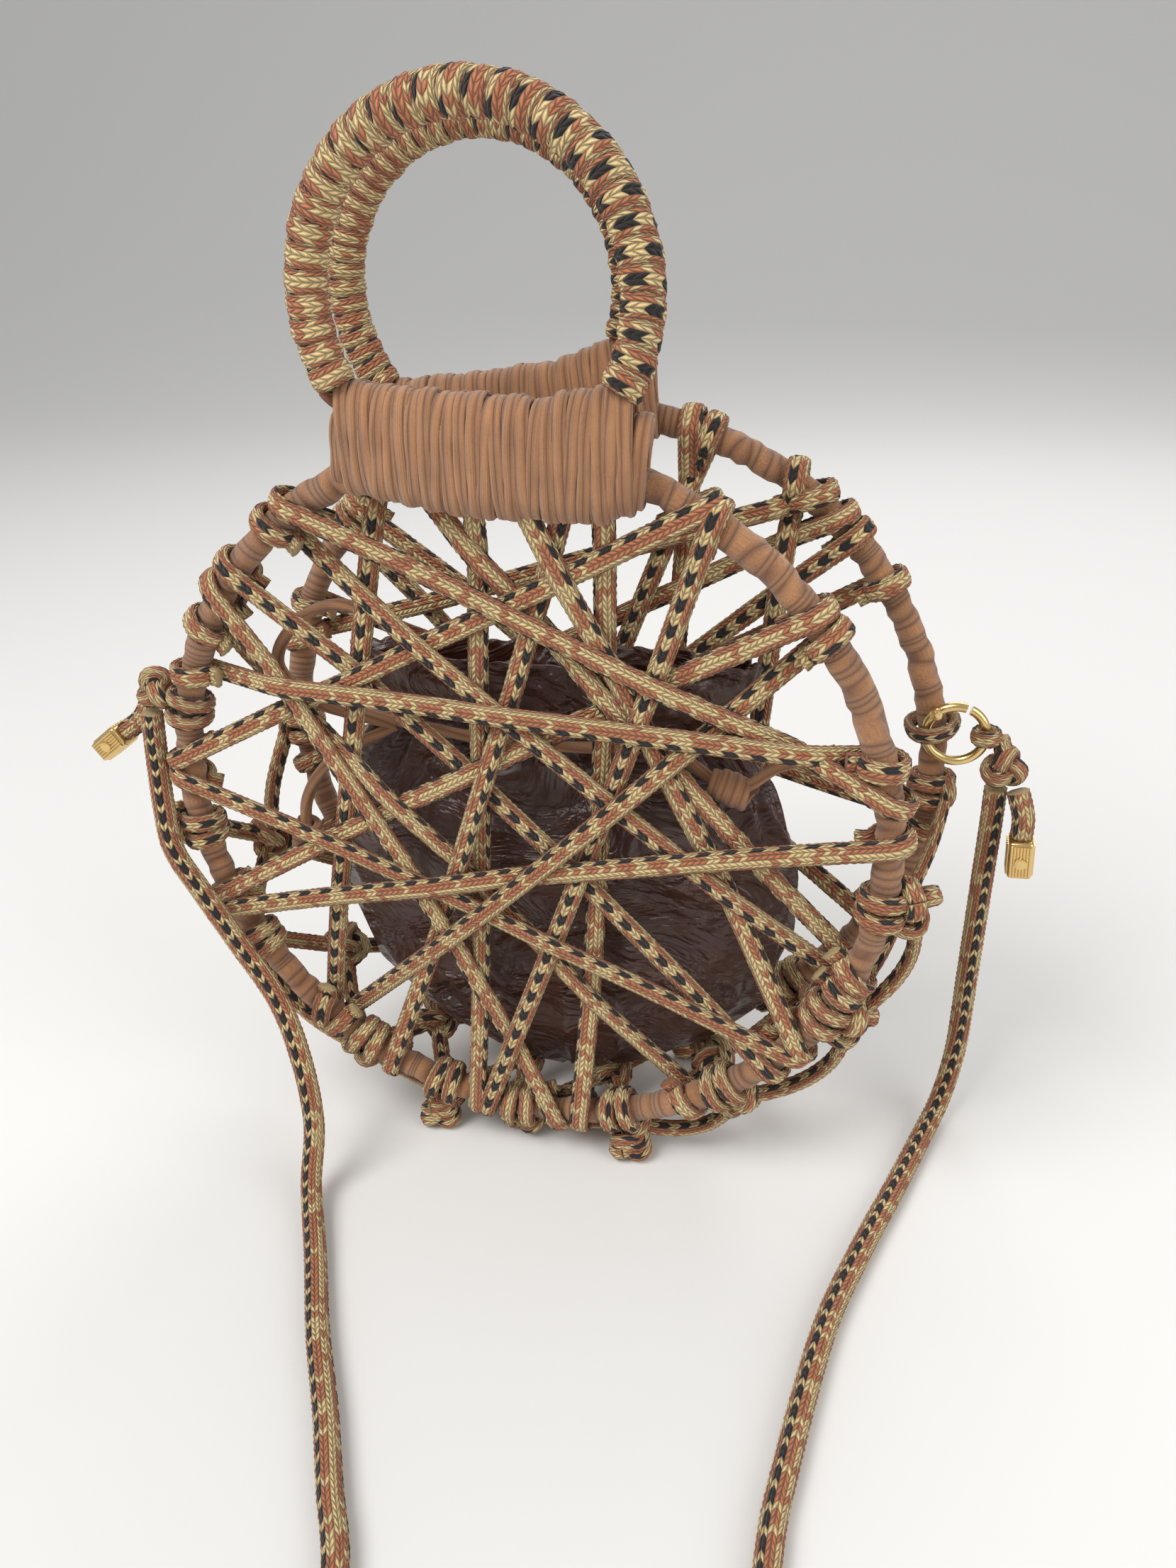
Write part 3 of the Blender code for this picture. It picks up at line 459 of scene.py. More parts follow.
def lashing(name, back, seed):
    rng = np.random.default_rng(seed)
    runs = []
    turns = [(-0.955 + 1.93 * i / (LASHING_TURNS - 1), 1.0) for i in range(LASHING_TURNS)]
    turns += [(end, share) for end in (-0.93, 0.95) for share in (0.74, 0.50, 0.26)]
    for i, (along, share) in enumerate(turns):
        low = LASHING_RISE * np.interp(along, LASHING_ALONG, LASHING_LOW) + rng.uniform(-0.0006, 0.0006)
        high = LASHING_RISE * np.interp(along, LASHING_ALONG, LASHING_TOP) + rng.uniform(-0.0006, 0.0006)
        deep = LASHING_DEPTH * np.interp(along, LASHING_ALONG, LASHING_DEEP) - 0.0010
        lean = rng.uniform(-0.0012, 0.0012) + 0.0010
        turn = np.linspace(0, 2 * math.pi, 49)
        rise = np.sign(np.cos(turn)) * np.abs(np.cos(turn)) ** 0.75
        deeper = np.sign(np.sin(turn)) * np.abs(np.sin(turn)) ** 0.75
        points = np.stack([
            along * LASHING_HALF + lean * np.cos(turn) + 0.0007 * np.sin(turn),
            HOOP_RADIUS + (low + high) / 2 + rise * share * ((high - low) / 2 - 0.0010),
            LASHING_AHEAD + deeper * deep * share,
        ], 1)
        normals = unit(np.stack([0 * turn, rise / (high - low) * 2, deeper / deep], 1))
        runs.append(knit_run(
            on_side(points, back), on_side(normals, back, True), 0.0046 + rng.uniform(-0.0004, 0.0006), 0.0022,
            i * 0.7))
    return swept(name, runs, strip_jersey, around=16, step=0.0014, wales=5, relief=0.00034, stitch=0.02)


for part, back, seed in (("front", False, 11), ("back", True, 12)):
    band = lashing(f"{part}_lashing_strips", back, seed)
    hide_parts(f"{part}_lashing")
    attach(band, "bag")

# Lacing
# The cord runs criss-cross from side to side of each hoop, over and under itself, and turns round the hoop.
# The cords are set out by the angles at which they meet the hoop, then pressed apart where they cross.
CORD_WIDTH = 0.0068
CORD_THICK = 0.0029
TURN_REACH = HOOP_TUBE + CORD_THICK / 2 + 0.0002
LACING_DEEPEST = 0.0078
LACING_SAMPLES = 61
SETTLING_ROUNDS = 260
FRONT_CHORDS = (
    (158, 15, 2), (202, 3, 1), (142, 274.5, 0), (149, 299, -1), (177, 320.8, 1), (88, 323, 0),
    (105, 339, -1), (122, 10, 2), (137, 316, -2), (127, 335.5, 1), (173, 60, 0), (39, 199, -1),
    (35, 231, 2), (57, 262, 1), (77, 243, 0), (108, 227.5, -2), (92, 260, -2), (73, 279, -2),
)
BACK_CHORDS = (
    (59, 235, 0), (62, 268, -1), (44, 284, 1), (41, 152, 2), (36, 177, 0), (32, 206, 1), (23, 191, -1),
    (127, 292, 0), (123, 320, 1), (145, 340, -1),
)


def crossings_of(ends, over):
    """For each two cords that cross: the upper one and its sample there, the lower one and its sample."""
    found = []
    for i in range(len(ends)):
        for j in range(i + 1, len(ends)):
            p, r = ends[i][0], ends[i][1] - ends[i][0]
            q, s = ends[j][0], ends[j][1] - ends[j][0]
            det = r[0] * s[1] - r[1] * s[0]
            if abs(det) < 1e-9:
                continue
            ti = ((q - p)[0] * s[1] - (q - p)[1] * s[0]) / det
            tj = ((q - p)[0] * r[1] - (q - p)[1] * r[0]) / det
            if 0.02 < ti < 0.98 and 0.02 < tj < 0.98:
                pair = [(k, int(round(t * (LACING_SAMPLES - 1)))) for k, t in ((i, ti), (j, tj))]
                found.append(pair if over[i] > over[j] else pair[::-1])
    return found


def round_hoop(end, other, sign):
    """A cord's line and normals from the lacing's plane over the hoop, round it and back inside it."""
    out = unit((end - other)[None, :])[0]
    longer = 1 / max(abs(np.dot(out, end / HOOP_RADIUS)), 0.66)
    about = np.radians(np.arange(90, -171, -20))
    flat = end[None, :] + out[None, :] * (TURN_REACH * longer * np.cos(about))[:, None]
    back_in = np.append(end - out * (TURN_REACH * longer + 0.004), -sign * 0.0022)
    rows = np.vstack([np.column_stack([flat, sign * TURN_REACH * np.sin(about)]), back_in])
    lean = np.column_stack([out[None, :] * (np.cos(about) / longer)[:, None], sign * np.sin(about)])
    return rows, np.vstack([unit(lean), (0, 0, -sign)])


def lacing(name, back, chords, seed):
    rng = np.random.default_rng(seed)
    t = np.linspace(0, 1, LACING_SAMPLES)
    ends = [[polar(angle, HOOP_RADIUS)[:2] for angle in row[:2]] for row in chords]
    signs = [1 if i % 3 else -1 for i in range(len(chords))]
    crossings = crossings_of(ends, [row[2] - 0.01 * i for i, row in enumerate(chords)])
    level = np.array([np.full(LACING_SAMPLES, 0.0004 * row[2]) for row in chords])
    apart = CORD_THICK * 0.92
    spread = np.array((0.35, 0.75, 1.0, 0.75, 0.35))
    for _ in range(SETTLING_ROUNDS):
        level[:, 1:-1] = 0.5 * level[:, 1:-1] + 0.25 * (level[:, :-2] + level[:, 2:])
        level[:, 0] = level[:, -1] = [sign * TURN_REACH for sign in signs]
        for upper, lower in crossings:
            gap = level[upper] - level[lower]
            if gap < apart:
                for (row, spot), way in ((upper, 1), (lower, -1)):
                    first, last = max(0, spot - 2), min(LACING_SAMPLES, spot + 3)
                    share = spread[first - spot + 2:last - spot + 2]
                    level[row, first:last] += way * (apart - gap) / 2 * share
    level = np.clip(level, -LACING_DEEPEST, LACING_DEEPEST)
    runs = []
    for (a, b), sign, depth in zip(ends, signs, level):
        line = a[None, :] + (b - a)[None, :] * t[:, None]
        away = unit(np.array([[-(b - a)[1], (b - a)[0]]]))[0]
        line = line + away * (rng.uniform(-0.0014, 0.0014) * np.sin(math.pi * t))[:, None]
        middle = np.column_stack([line, depth])[3:-3]
        normals = np.tile((0.0, 0.0, float(sign)), (len(middle), 1))
        first, first_normals = round_hoop(a, b, sign)
        last, last_normals = round_hoop(b, a, sign)
        points = np.vstack([first[::-1], middle, last])
        facing = np.vstack([first_normals[::-1], normals, last_normals])
        runs.append(knit_run(
            smooth_through(on_side(points, back), 4), smooth_through(on_side(facing, back, True), 4),
            CORD_WIDTH * rng.uniform(0.95, 1.06), CORD_THICK, rng.uniform(0, 8), rng.uniform(-2.0, 2.0)))
    return swept(name, runs, knit, around=20, step=0.0012)


for part, back, chords, seed in (("front", False, FRONT_CHORDS, 21), ("back", True, BACK_CHORDS, 22)):
    web = lacing(f"{part}_lacing", back, chords, seed)
    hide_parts(f"{part}_web")
    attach(web, "bag")

# Gusset
# A knotted strip joins the hoops round the sides and the bottom, and the bag stands on its lowest knots.
# Lark's heads sit on the hoops, their cords meet in knots half way across, and slack bights stand out below.
FRONT_KNOTS = (187, 210, 237, 253, 267.5, 286, 306, 330, 352)
BACK_KNOTS = (170, 198, 220, 242.5, 259, 275.5, 299, 327, 347)
FEET = ((253.0, False), (286.0, False), (253.0 - BACK_TURN, True), (286.0 - BACK_TURN, True))
BIGHTS = (
    (210, 237, 0.010, -0.004), (237, 253, 0.009, -0.008), (267.5, 286, 0.006, -0.006),
    (286, 306, 0.011, -0.004), (306, 330, 0.011, -0.006), (330, 352, 0.009, -0.008),
)
GUSSET_WIDTH = 0.0064
GUSSET_THICK = 0.0040
HITCH_REACH = HOOP_TUBE + 0.0018
RIM_REACH = 0.1289
LUMP_REACH = 0.1318
FOOT_REACH = 0.1347


def knot_line(centre, outward, along, size, start=0.0, flat=1.0):
    """A trefoil path, the line that a cord follows in an overhand knot, and its outward normals."""
    outward = np.asarray(outward, float) / np.linalg.norm(outward)
    along = np.asarray(along, float) - outward * np.dot(along, outward)
    along = along / np.linalg.norm(along)
    aside = np.cross(outward, along)
    t = np.linspace(0, 2 * math.pi, 60) + start
    x = (np.sin(t) + 2 * np.sin(2 * t)) / 3
    y = (np.cos(t) - 2 * np.cos(2 * t)) / 3
    z = -np.sin(3 * t) * 0.42 * flat
    line = centre + size * (x[:, None] * along + y[:, None] * aside + z[:, None] * outward)
    normal = unit((line - centre) + outward * size * 0.3)
    return line, normal


def hitch_runs(angle, back, width=0.0056):
    """Two turns of cord round a hoop with a bar over them, as a lark's head."""
    runs = []
    inward = 1.0 if back else -1.0
    out, beside, facing = polar(angle), polar(angle + 90), np.array((0.0, 0.0, 1.0))
    about = np.linspace(0, 2 * math.pi, 25)
    normal = np.cos(about)[:, None] * out + np.sin(about)[:, None] * facing
    for shift in (-0.0030, 0.0030):
        rows = HOOP_RADIUS * out + HITCH_REACH * normal
        rows = rows + beside * (shift * (1 + 0.25 * np.cos(about - 1.0)))[:, None]
        runs.append(knit_run(on_side(rows, back), on_side(normal, back, True), width, 0.0036, angle * 0.13))
    lean = out * 0.75 + facing * inward * 0.66
    bar = np.linspace(-1, 1, 9)
    rows = HOOP_RADIUS * out + beside * (bar * 0.0052)[:, None]
    rows = rows + lean * (HITCH_REACH + 0.0022 - 0.0026 * bar**2)[:, None]
    runs.append(knit_run(on_side(rows, back), on_side(np.tile(lean, (9, 1)), back, True), width, 0.0040, 3.0))
    return runs


def gusset():
    rng = np.random.default_rng(5)
    runs, fronts, backs = [], [], []
    for angle in FRONT_KNOTS:
        runs += hitch_runs(angle, False)
        out = on_side(polar(angle), False, True)[0]
        beside = on_side(polar(angle + 90), False, True)[0]
        lump = on_side(polar(angle, LUMP_REACH, -0.0040), False)[0]
        size = 0.0070 if angle < 320 else 0.0088
        line, normal = knot_line(lump, out + (0, -0.5, 0), beside, size, angle * 0.7)
        runs.append(knit_run(line, normal, 0.0062, 0.0042, angle * 0.3))
        fronts.append(on_side(polar(angle, RIM_REACH, -0.0035), False)[0])
    for angle in BACK_KNOTS:
        runs += hitch_runs(angle, True)
        backs.append(on_side(polar(angle, RIM_REACH, 0.0035), True)[0])
    hub = at_bag((0.0056, 0.0, -0.031))[0]
    for i in range(len(fronts) - 1):
        middle = (fronts[i] + fronts[i + 1] + backs[i] + backs[i + 1]) / 4
        outward = (middle - hub) * (1, 0, 1)
        outward = outward / np.linalg.norm(outward)
        middle = middle + outward * 0.0012
        along = fronts[i + 1] - fronts[i]
        line, normal = knot_line(middle, outward, along, 0.0074, i * 1.3)
        runs.append(knit_run(line, normal, GUSSET_WIDTH, GUSSET_THICK, float(i)))
        line, normal = knot_line(middle, outward, np.cross(outward, along), 0.0066, i * 2.1)
        runs.append(knit_run(line - outward * 0.0030, normal, GUSSET_WIDTH, GUSSET_THICK, i + 3.0))
        for end in (fronts[i], fronts[i + 1], backs[i], backs[i + 1]):
            half = (end + middle) / 2 + outward * rng.uniform(0.0004, 0.0022)
            half = half + np.array((0, 1, 0)) * rng.uniform(-0.0015, 0.0015)
            points = smooth_through([end - outward * 0.001, half, middle + (end - middle) * 0.10], 8)
            runs.append(knit_run(
                points, np.tile(outward, (len(points), 1)), GUSSET_WIDTH, GUSSET_THICK, rng.uniform(0, 8)))
    for angle, back in FEET:
        spot = on_side(polar(angle, FOOT_REACH), back)[0]
        for high, size in ((0.0040, 0.0064), (0.0080, 0.0056)):
            centre = np.array((spot[0], spot[1], high))
            line, normal = knot_line(centre, (0, 0, -1), (1, 0.3, 0), size, angle + high * 400, 0.5)
            runs.append(knit_run(line, normal, 0.0060, 0.0042, 2.0))
    for first, last, bulge, forward in BIGHTS:
        turn = np.radians(np.linspace(first, last, 9))
        wave = np.sin(math.pi * np.linspace(0, 1, 9))
        far = RIM_REACH + bulge * np.maximum(wave, 0) ** 0.8
        rows = np.column_stack([far * np.cos(turn), far * np.sin(turn), forward * wave - 0.003])
        points = smooth_through(on_side(rows, False), 6)
        points[:, 2] = np.maximum(points[:, 2], 0.0024)
        runs.append(knit_run(points, unit((points - hub) * (1, 0, 1)), 0.0068, 0.0044, 1.0))
    return swept("gusset_knots", runs, knit, around=18, step=0.0013)


knots = gusset()
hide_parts("gusset")
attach(knots, "bag")

# Pouch
# A sack of dark brown satin stands inside on the gusset, its mouth drawn in by the yarn.
# The sack is lofted from the bottom up, with deep gathers at the neck that fade into soft folds below it.
POUCH_HIGH = 0.050
POUCH_LOW = -0.1226
POUCH_MIDDLE = (0.0042, -0.031)
POUCH_HALF_WIDTH = 0.084
POUCH_HALF_DEPTH = 0.0185
POUCH_WALL = 0.0011
NECK_DOWN = 0.16
POUCH_DOWN = (1.00, 0.96, 0.89, 0.76, 0.58, 0.40, 0.25, 0.16, 0.07, 0.00)
POUCH_WIDE = (0.14, 0.38, 0.66, 0.94, 1.04, 1.05, 0.95, 0.82, 0.85, 0.89)
POUCH_DEEP = (0.25, 0.66, 0.90, 1.00, 1.00, 0.95, 0.80, 0.62, 0.72, 0.80)
SATIN = (0.110, 0.038, 0.022)
SATIN_SHADE = (0.022, 0.007, 0.005)

satin, tree, shader = fresh_material("brown_satin_finish", {
    "Roughness": 0.22, "Specular IOR Level": 0.8, "Anisotropic": 0.5,
    "Sheen Weight": 0.10, "Sheen Tint": (0.80, 0.45, 0.36, 1.0), "Sheen Roughness": 0.35,
})
drape = stretched(tree, tree.nodes.new("ShaderNodeTexCoord").outputs["Object"], (1.0, 1.0, 2.0))
folds = noise(tree, drape, Scale=26.0, Detail=4.0, Distortion=0.8)
weave = noise(tree, Scale=2600.0)
# Painted shade: the satin's colour darkens towards SATIN_SHADE in the valleys of the same folds that bump it.
tree.links.new(mixed(tree, folds, SATIN_SHADE, SATIN), shader.inputs["Base Color"])
bumped(tree, shader, shader_math(tree, "MULTIPLY_ADD", weave, 0.01, folds), 1.0, 0.016)


def pouch():
    """The sack's outer and inner walls, lofted ring by ring and closed at the bottom and round the mouth."""
    around, rows = 220, 120
    turn = 2 * math.pi * np.arange(around) / around
    down = np.linspace(1, 0, rows)
    wide = POUCH_HALF_WIDTH * np.interp(down, POUCH_DOWN[::-1], POUCH_WIDE[::-1])
    deep = POUCH_HALF_DEPTH * np.interp(down, POUCH_DOWN[::-1], POUCH_DEEP[::-1])
    near_neck = np.exp(-((down - NECK_DOWN) / 0.14) ** 2)
    coords = []
    for wall in (0.0, POUCH_WALL):
        rng = np.random.default_rng(31)
        gather = np.zeros((rows, around))
        for n in (17, 23, 31, 43):
            a, b = rng.uniform(0, 6.28, 2)
            gather += np.sin(n * turn[None, :] + a + 1.2 * np.sin(5 * down[:, None] + b)) / 4
        soft = np.zeros((rows, around))
        for n, m in ((5, 7), (8, 5), (11, 9), (7, 13)):
            a, b = rng.uniform(0, 6.28, 2)
            soft += np.sin(n * turn[None, :] + m * down[:, None] + a) * np.cos(m * down[:, None] * 0.7 + b) / 4
        crease = 0.5 - np.abs(soft)
        move = 0.0015 * gather * (0.30 + 1.4 * near_neck)[:, None]
        move = move + 0.0065 * crease * (1 - near_neck)[:, None] - 0.0034 - wall
        x = (wide[:, None] + move) * np.cos(turn)[None, :] + POUCH_MIDDLE[0]
        z = (deep[:, None] + move) * np.sin(turn)[None, :] + POUCH_MIDDLE[1]
        rise = np.repeat((POUCH_HIGH + (POUCH_LOW - POUCH_HIGH) * down)[:, None], around, 1)
        rise[-14:] += 0.0016 * gather[-14:] * np.linspace(0, 1, 14)[:, None] - 0.0012
        if wall:
            rise[:3] += wall
        shell = at_bag(np.stack([x.ravel(), rise.ravel(), z.ravel()], 1)).reshape(rows, around, 3)
        coords.append(shell if not wall else shell[::-1])
    grid = np.vstack(coords)
    count = len(grid)
    k = np.arange(around)
    m = (k + 1) % around
    base = (np.arange(count - 1) * around)[:, None]
    quads = np.stack([base + k, base + m, base + around + m, base + around + k], -1).reshape(-1, 4)
    low = at_bag((POUCH_MIDDLE[0], POUCH_LOW, POUCH_MIDDLE[1]))
    verts = np.vstack([grid.reshape(-1, 3), low, low + (0, 0, POUCH_WALL)])
    faces = quads.tolist()
    bottom = len(verts) - 2
    for i in range(around):
        j = (i + 1) % around
        faces.append((j, i, bottom))
        faces.append(((count - 1) * around + i, (count - 1) * around + j, bottom + 1))
    mesh = bpy.data.meshes.new("satin_pouch")
    mesh.from_pydata(verts.tolist(), [], faces)
    mesh.validate()
    body = bmesh.new()
    body.from_mesh(mesh)
    bmesh.ops.recalc_face_normals(body, faces=body.faces)
    body.to_mesh(mesh)
    body.free()
    mesh.shade_smooth()
    mesh.materials.append(satin)
    piece = bpy.data.objects.new("satin_pouch", mesh)
    bpy.context.scene.collection.objects.link(piece)
    return piece


sack = pouch()
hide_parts("pouch")
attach(sack, "bag")

# Drawstring
# Jersey yarn runs through the pouch's mouth and is tied in front: a loop, two ends and wrapped stopper knots.
# The yarn is a soft tube of rolled cloth, and each stopper is the yarn's own end wound round itself.
YARN = 0.0038
NECK_LEVEL = -0.0164
LOOP_ROUTE = (
    (-0.050, 0.022, -0.0049), (-0.074, 0.032, 0.0040), (-0.086, 0.046, 0.0065), (-0.079, 0.060, 0.0075),
    (-0.064, 0.069, 0.0080), (-0.048, 0.067, 0.0080), (-0.030, 0.052, 0.0060), (-0.010, 0.027, 0.0005),
)
RIGHT_ROUTE = (
    (0.048, 0.023, -0.0030), (0.071, 0.013, 0.0035), (0.086, 0.023, 0.0050), (0.103, 0.030, 0.0050),
)
LEFT_ROUTE = (
    (-0.050, 0.022, -0.0049), (-0.073, 0.010, 0.0020), (-0.085, -0.006, 0.0030), (-0.088, -0.023, 0.0030),
)


def yarn_run(points):
    return knit_run(points, np.tile((0.0, -1.0, 0.25), (len(points), 1)), YARN, YARN, twist=30.0)


def yarn_piece(name, runs):
    piece = swept(name, runs, strip_jersey, around=14, step=0.0010, wales=4, relief=0.00022, stitch=0.03)
    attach(piece, "bag")
    return piece


def yarn_points(route):
    rows = [(x, y, NECK_LEVEL + z) for x, y, z in route]
    return smooth_through(at_bag(rows), 10)


turn = np.linspace(0, 2 * math.pi, 97)
neck_rise = POUCH_HIGH + (POUCH_LOW - POUCH_HIGH) * NECK_DOWN
ring = np.column_stack([
    POUCH_MIDDLE[0] + 0.0715 * np.cos(turn), neck_rise + 0.0015 * np.sin(3 * turn),
    POUCH_MIDDLE[1] + 0.0142 * np.sin(turn),
])
neck = yarn_piece("drawstring_neck", [yarn_run(at_bag(ring))])
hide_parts("drawstring")


def wound_knot(name, centre, along, length, radius, turns):
    """A stopper: the yarn wound round itself."""
    along = np.asarray(along, float) / np.linalg.norm(along)
    first = np.cross(along, (0, 1, 0))
    first = first / np.linalg.norm(first)
    second = np.cross(along, first)
    about = np.linspace(0, turns * 2 * math.pi, turns * 20)
    share = np.linspace(-0.5, 0.5, len(about))
    swell = radius * (1 - 0.9 * share**2)
    out = np.cos(about)[:, None] * first + np.sin(about)[:, None] * second
    points = centre + along * (share * length)[:, None] + out * swell[:, None]
    return yarn_piece(name, [knit_run(points, out, 0.0040, 0.0032)])


right_stopper = wound_knot(
    "stopper_knot_right", at_bag((0.0708, 0.0129, NECK_LEVEL + 0.0040))[0], (0.75, 0.0, -0.30), 0.0125, 0.0042,
    4)
left_stopper = wound_knot(
    "stopper_knot_left", at_bag((-0.0880, -0.0230, NECK_LEVEL + 0.0030))[0], (0.25, 0.0, 1.0), 0.0125, 0.0040,
    4)
YARN_ENDS = (
    ("drawstring_loop", LOOP_ROUTE, "object", 0.150, ()),
    ("drawstring_end_right", RIGHT_ROUTE, "knot", 0.063, (right_stopper,)),
    ("drawstring_end_left", LEFT_ROUTE, "knot", 0.063, (left_stopper,)),
)
for name, route, far_end, length, on_it in YARN_ENDS:
    points = yarn_points(route)
    yarn = yarn_piece(name, [yarn_run(points)])

# Strap ends
# At the left the strap is knotted round the front hoop, and its short tail ends in a gold cap.
# At the right it is knotted round the clasp, which hangs in a loop on the back hoop.
# That tail has a second cap.
STRAP_CORD = 0.0072
LEFT_KNOT_ANGLE = 164.5
LEFT_KNOT = (-0.1295, 0.0385, 0.0010)
RIGHT_KNOT = (0.1564, 0.0093, -0.0540)
LEFT_TAIL = ((-0.1354, 0.0344, -0.0053), (-0.1455, 0.0225, -0.0100), (-0.1543, 0.0160, -0.0100))
RIGHT_TAIL = ((0.1614, 0.0025, -0.0506), (0.1640, -0.0060, -0.0495), (0.1643, -0.0138, -0.0495))
CLASP_RADIUS = 0.0098
CLASP_WIRE = 0.0016
CLASP_CENTRE = (0.1395, 0.0205, -0.0535)


def strap_piece(name, runs, node):
    piece = swept(name, runs, strap_knit, around=22, step=0.0011, wales=10)
    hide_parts(node)
    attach(piece, "bag")
    return piece


def knot_run(centre, outward, along, start):
    line, normal = knot_line(at_bag(centre)[0], outward, along, 0.0056, start)
    return knit_run(line, normal, 0.0062, 0.0046, 1.0)


left_runs = hitch_runs(LEFT_KNOT_ANGLE, False, 0.0048)
left_runs.append(knot_run(LEFT_KNOT, (-0.4, -1.0, 0.2), (0.5, 0, -1), 0.5))
left_knot = strap_piece("left_strap_knot", left_runs, "strap_knot_left")

about = np.linspace(0, 2 * math.pi, 25)
clasp_side = at_bag((CLASP_CENTRE[0] + CLASP_RADIUS, CLASP_CENTRE[1], CLASP_CENTRE[2]))[0]
bight_out = np.column_stack([np.cos(about), np.sin(about), 0 * about])
bight = knit_run(clasp_side + 0.0035 * bight_out, bight_out, 0.0054, 0.0030, 2.0)
neck_line = smooth_through([
    clasp_side + (0.0045, -0.0005, 0.0), clasp_side + (0.0060, 0.0, -0.0050), at_bag(RIGHT_KNOT)[0]], 8)
stem = knit_run(neck_line, np.tile((0.3, -1.0, 0.2), (len(neck_line), 1)), 0.0056, 0.0036, 5.0)
right_knot = strap_piece(
    "right_strap_knot", [bight, stem, knot_run(RIGHT_KNOT, (0.3, -1.0, 0.1), (0.4, 0, -1), 2.1)],
    "strap_knot_right")

for part, route in (("left", LEFT_TAIL), ("right", RIGHT_TAIL)):
    points = smooth_through(at_bag(route), 10)
    run = knit_run(points, np.tile((0.2, -1.0, 0.3), (len(points), 1)), STRAP_CORD, 0.0064, 1.5)
    strap_piece(f"{part}_strap_tail", [run], f"strap_tail_{part}")

anchor_out = polar(-1.5)
anchor_about = np.linspace(0, 2 * math.pi, 41)
stretch = HITCH_REACH + 0.0062 * np.clip(np.sin(anchor_about) * 1.6, 0, 1)
anchor_rows = HOOP_RADIUS * anchor_out + np.column_stack([
    ((HITCH_REACH + 0.0015) * np.cos(anchor_about))[:, None] * anchor_out[None, :2],
    stretch * np.sin(anchor_about)])
anchor_normals = np.column_stack([np.cos(anchor_about)[:, None] * anchor_out[None, :2], np.sin(anchor_about)])
anchor_run = knit_run(on_side(anchor_rows, True), on_side(anchor_normals, True, True), 0.0050, 0.0026)
anchor = strap_piece("anchor_turn", [anchor_run], "anchor_loop")

# Metal
# The clasp is a round gate ring of gold-plated wire, and each cord end sits in a ribbed, screwed gold cap.
# The ring and its gate are spun wires joined at a rivet, and the caps are bevelled blocks with ribs along them.
PIVOT_ANGLE = 135
RING_ANGLES = (141, 424.6)
GATE_ANGLES = (73.5, 131)
CAP_LENGTH = 0.0139
CAP_WIDE = 0.0108
CAP_THICK = 0.0086
RIB_RADIUS = 0.00058
RIB_LENGTH = 0.0116

gold, tree, shader = fresh_material("gold_metal_finish", {"Roughness": 0.24, "Metallic": 1.0})
wear = noise(tree, Scale=260.0, Detail=4.0)
tree.links.new(mixed(tree, wear, (0.66, 0.45, 0.17), (0.80, 0.60, 0.29)), shader.inputs["Base Color"])
tree.links.new(shader_math(tree, "MULTIPLY_ADD", wear, 0.22, 0.14), shader.inputs["Roughness"])
bumped(tree, shader, wear, 0.12, 0.0003)


def finished_metal(piece, body, node):
    bpy.ops.object.transform_apply(location=True, rotation=True, scale=True)
    piece.data.materials.clear()
    piece.data.materials.append(gold)
    piece.data.shade_smooth()
    piece.data.set_sharp_from_angle(angle=math.radians(35))
    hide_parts(node)
    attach(piece, body)


def on_ring(angle):
    """The point of the clasp's ring at an angle in degrees."""
    return Vector(at_bag(CLASP_CENTRE)[0]) + CLASP_RADIUS * Vector(polar(angle)).xzy


def wire_arc(start, stop):
    """Round wire along the clasp's ring: a circle spun about the ring's middle."""
    bpy.ops.mesh.primitive_circle_add(
        vertices=20, radius=CLASP_WIRE, fill_type="NGON", location=on_ring(start),
        rotation=(0, -math.radians(start), 0))
    wire = bpy.context.object
    bpy.ops.object.transform_apply(location=True, rotation=True)
    bpy.ops.object.mode_set(mode="EDIT")
    bpy.ops.mesh.select_all(action="SELECT")
    bpy.ops.mesh.spin(
        steps=int(abs(stop - start) / 4), angle=math.radians(stop - start), center=Vector(at_bag(CLASP_CENTRE)[0]),
        axis=(0, 1, 0))
    bpy.ops.mesh.select_all(action="SELECT")
    bpy.ops.mesh.normals_make_consistent(inside=False)
    bpy.ops.object.mode_set(mode="OBJECT")
    return wire


def bevelled(piece, width, segments):
    bevel = piece.modifiers.new("edge", "BEVEL")
    bevel.width = width
    bevel.segments = segments
    bpy.ops.object.modifier_apply(modifier="edge")
    return piece


def rivet(radius, depth):
    bpy.ops.mesh.primitive_cylinder_add(
        vertices=32, radius=radius, depth=depth, location=on_ring(PIVOT_ANGLE), rotation=(math.radians(90), 0, 0))
    return bevelled(bpy.context.object, 0.0002, 2)


def joined(pieces):
    bpy.ops.object.select_all(action="DESELECT")
    for piece in pieces:
        piece.select_set(True)
    bpy.context.view_layer.objects.active = pieces[0]
    bpy.ops.object.join()
    return bpy.context.object


ring = joined([wire_arc(*RING_ANGLES), rivet(0.0021, 0.0034), rivet(0.0012, 0.0040)])
ring.name = "clasp_ring_wire"
finished_metal(ring, "bag", "clasp_ring")
gate = joined([wire_arc(*GATE_ANGLES), rivet(0.0015, 0.0010)])
gate.name = "clasp_gate_wire"
finished_metal(gate, "clasp_gate", "clasp_gate")


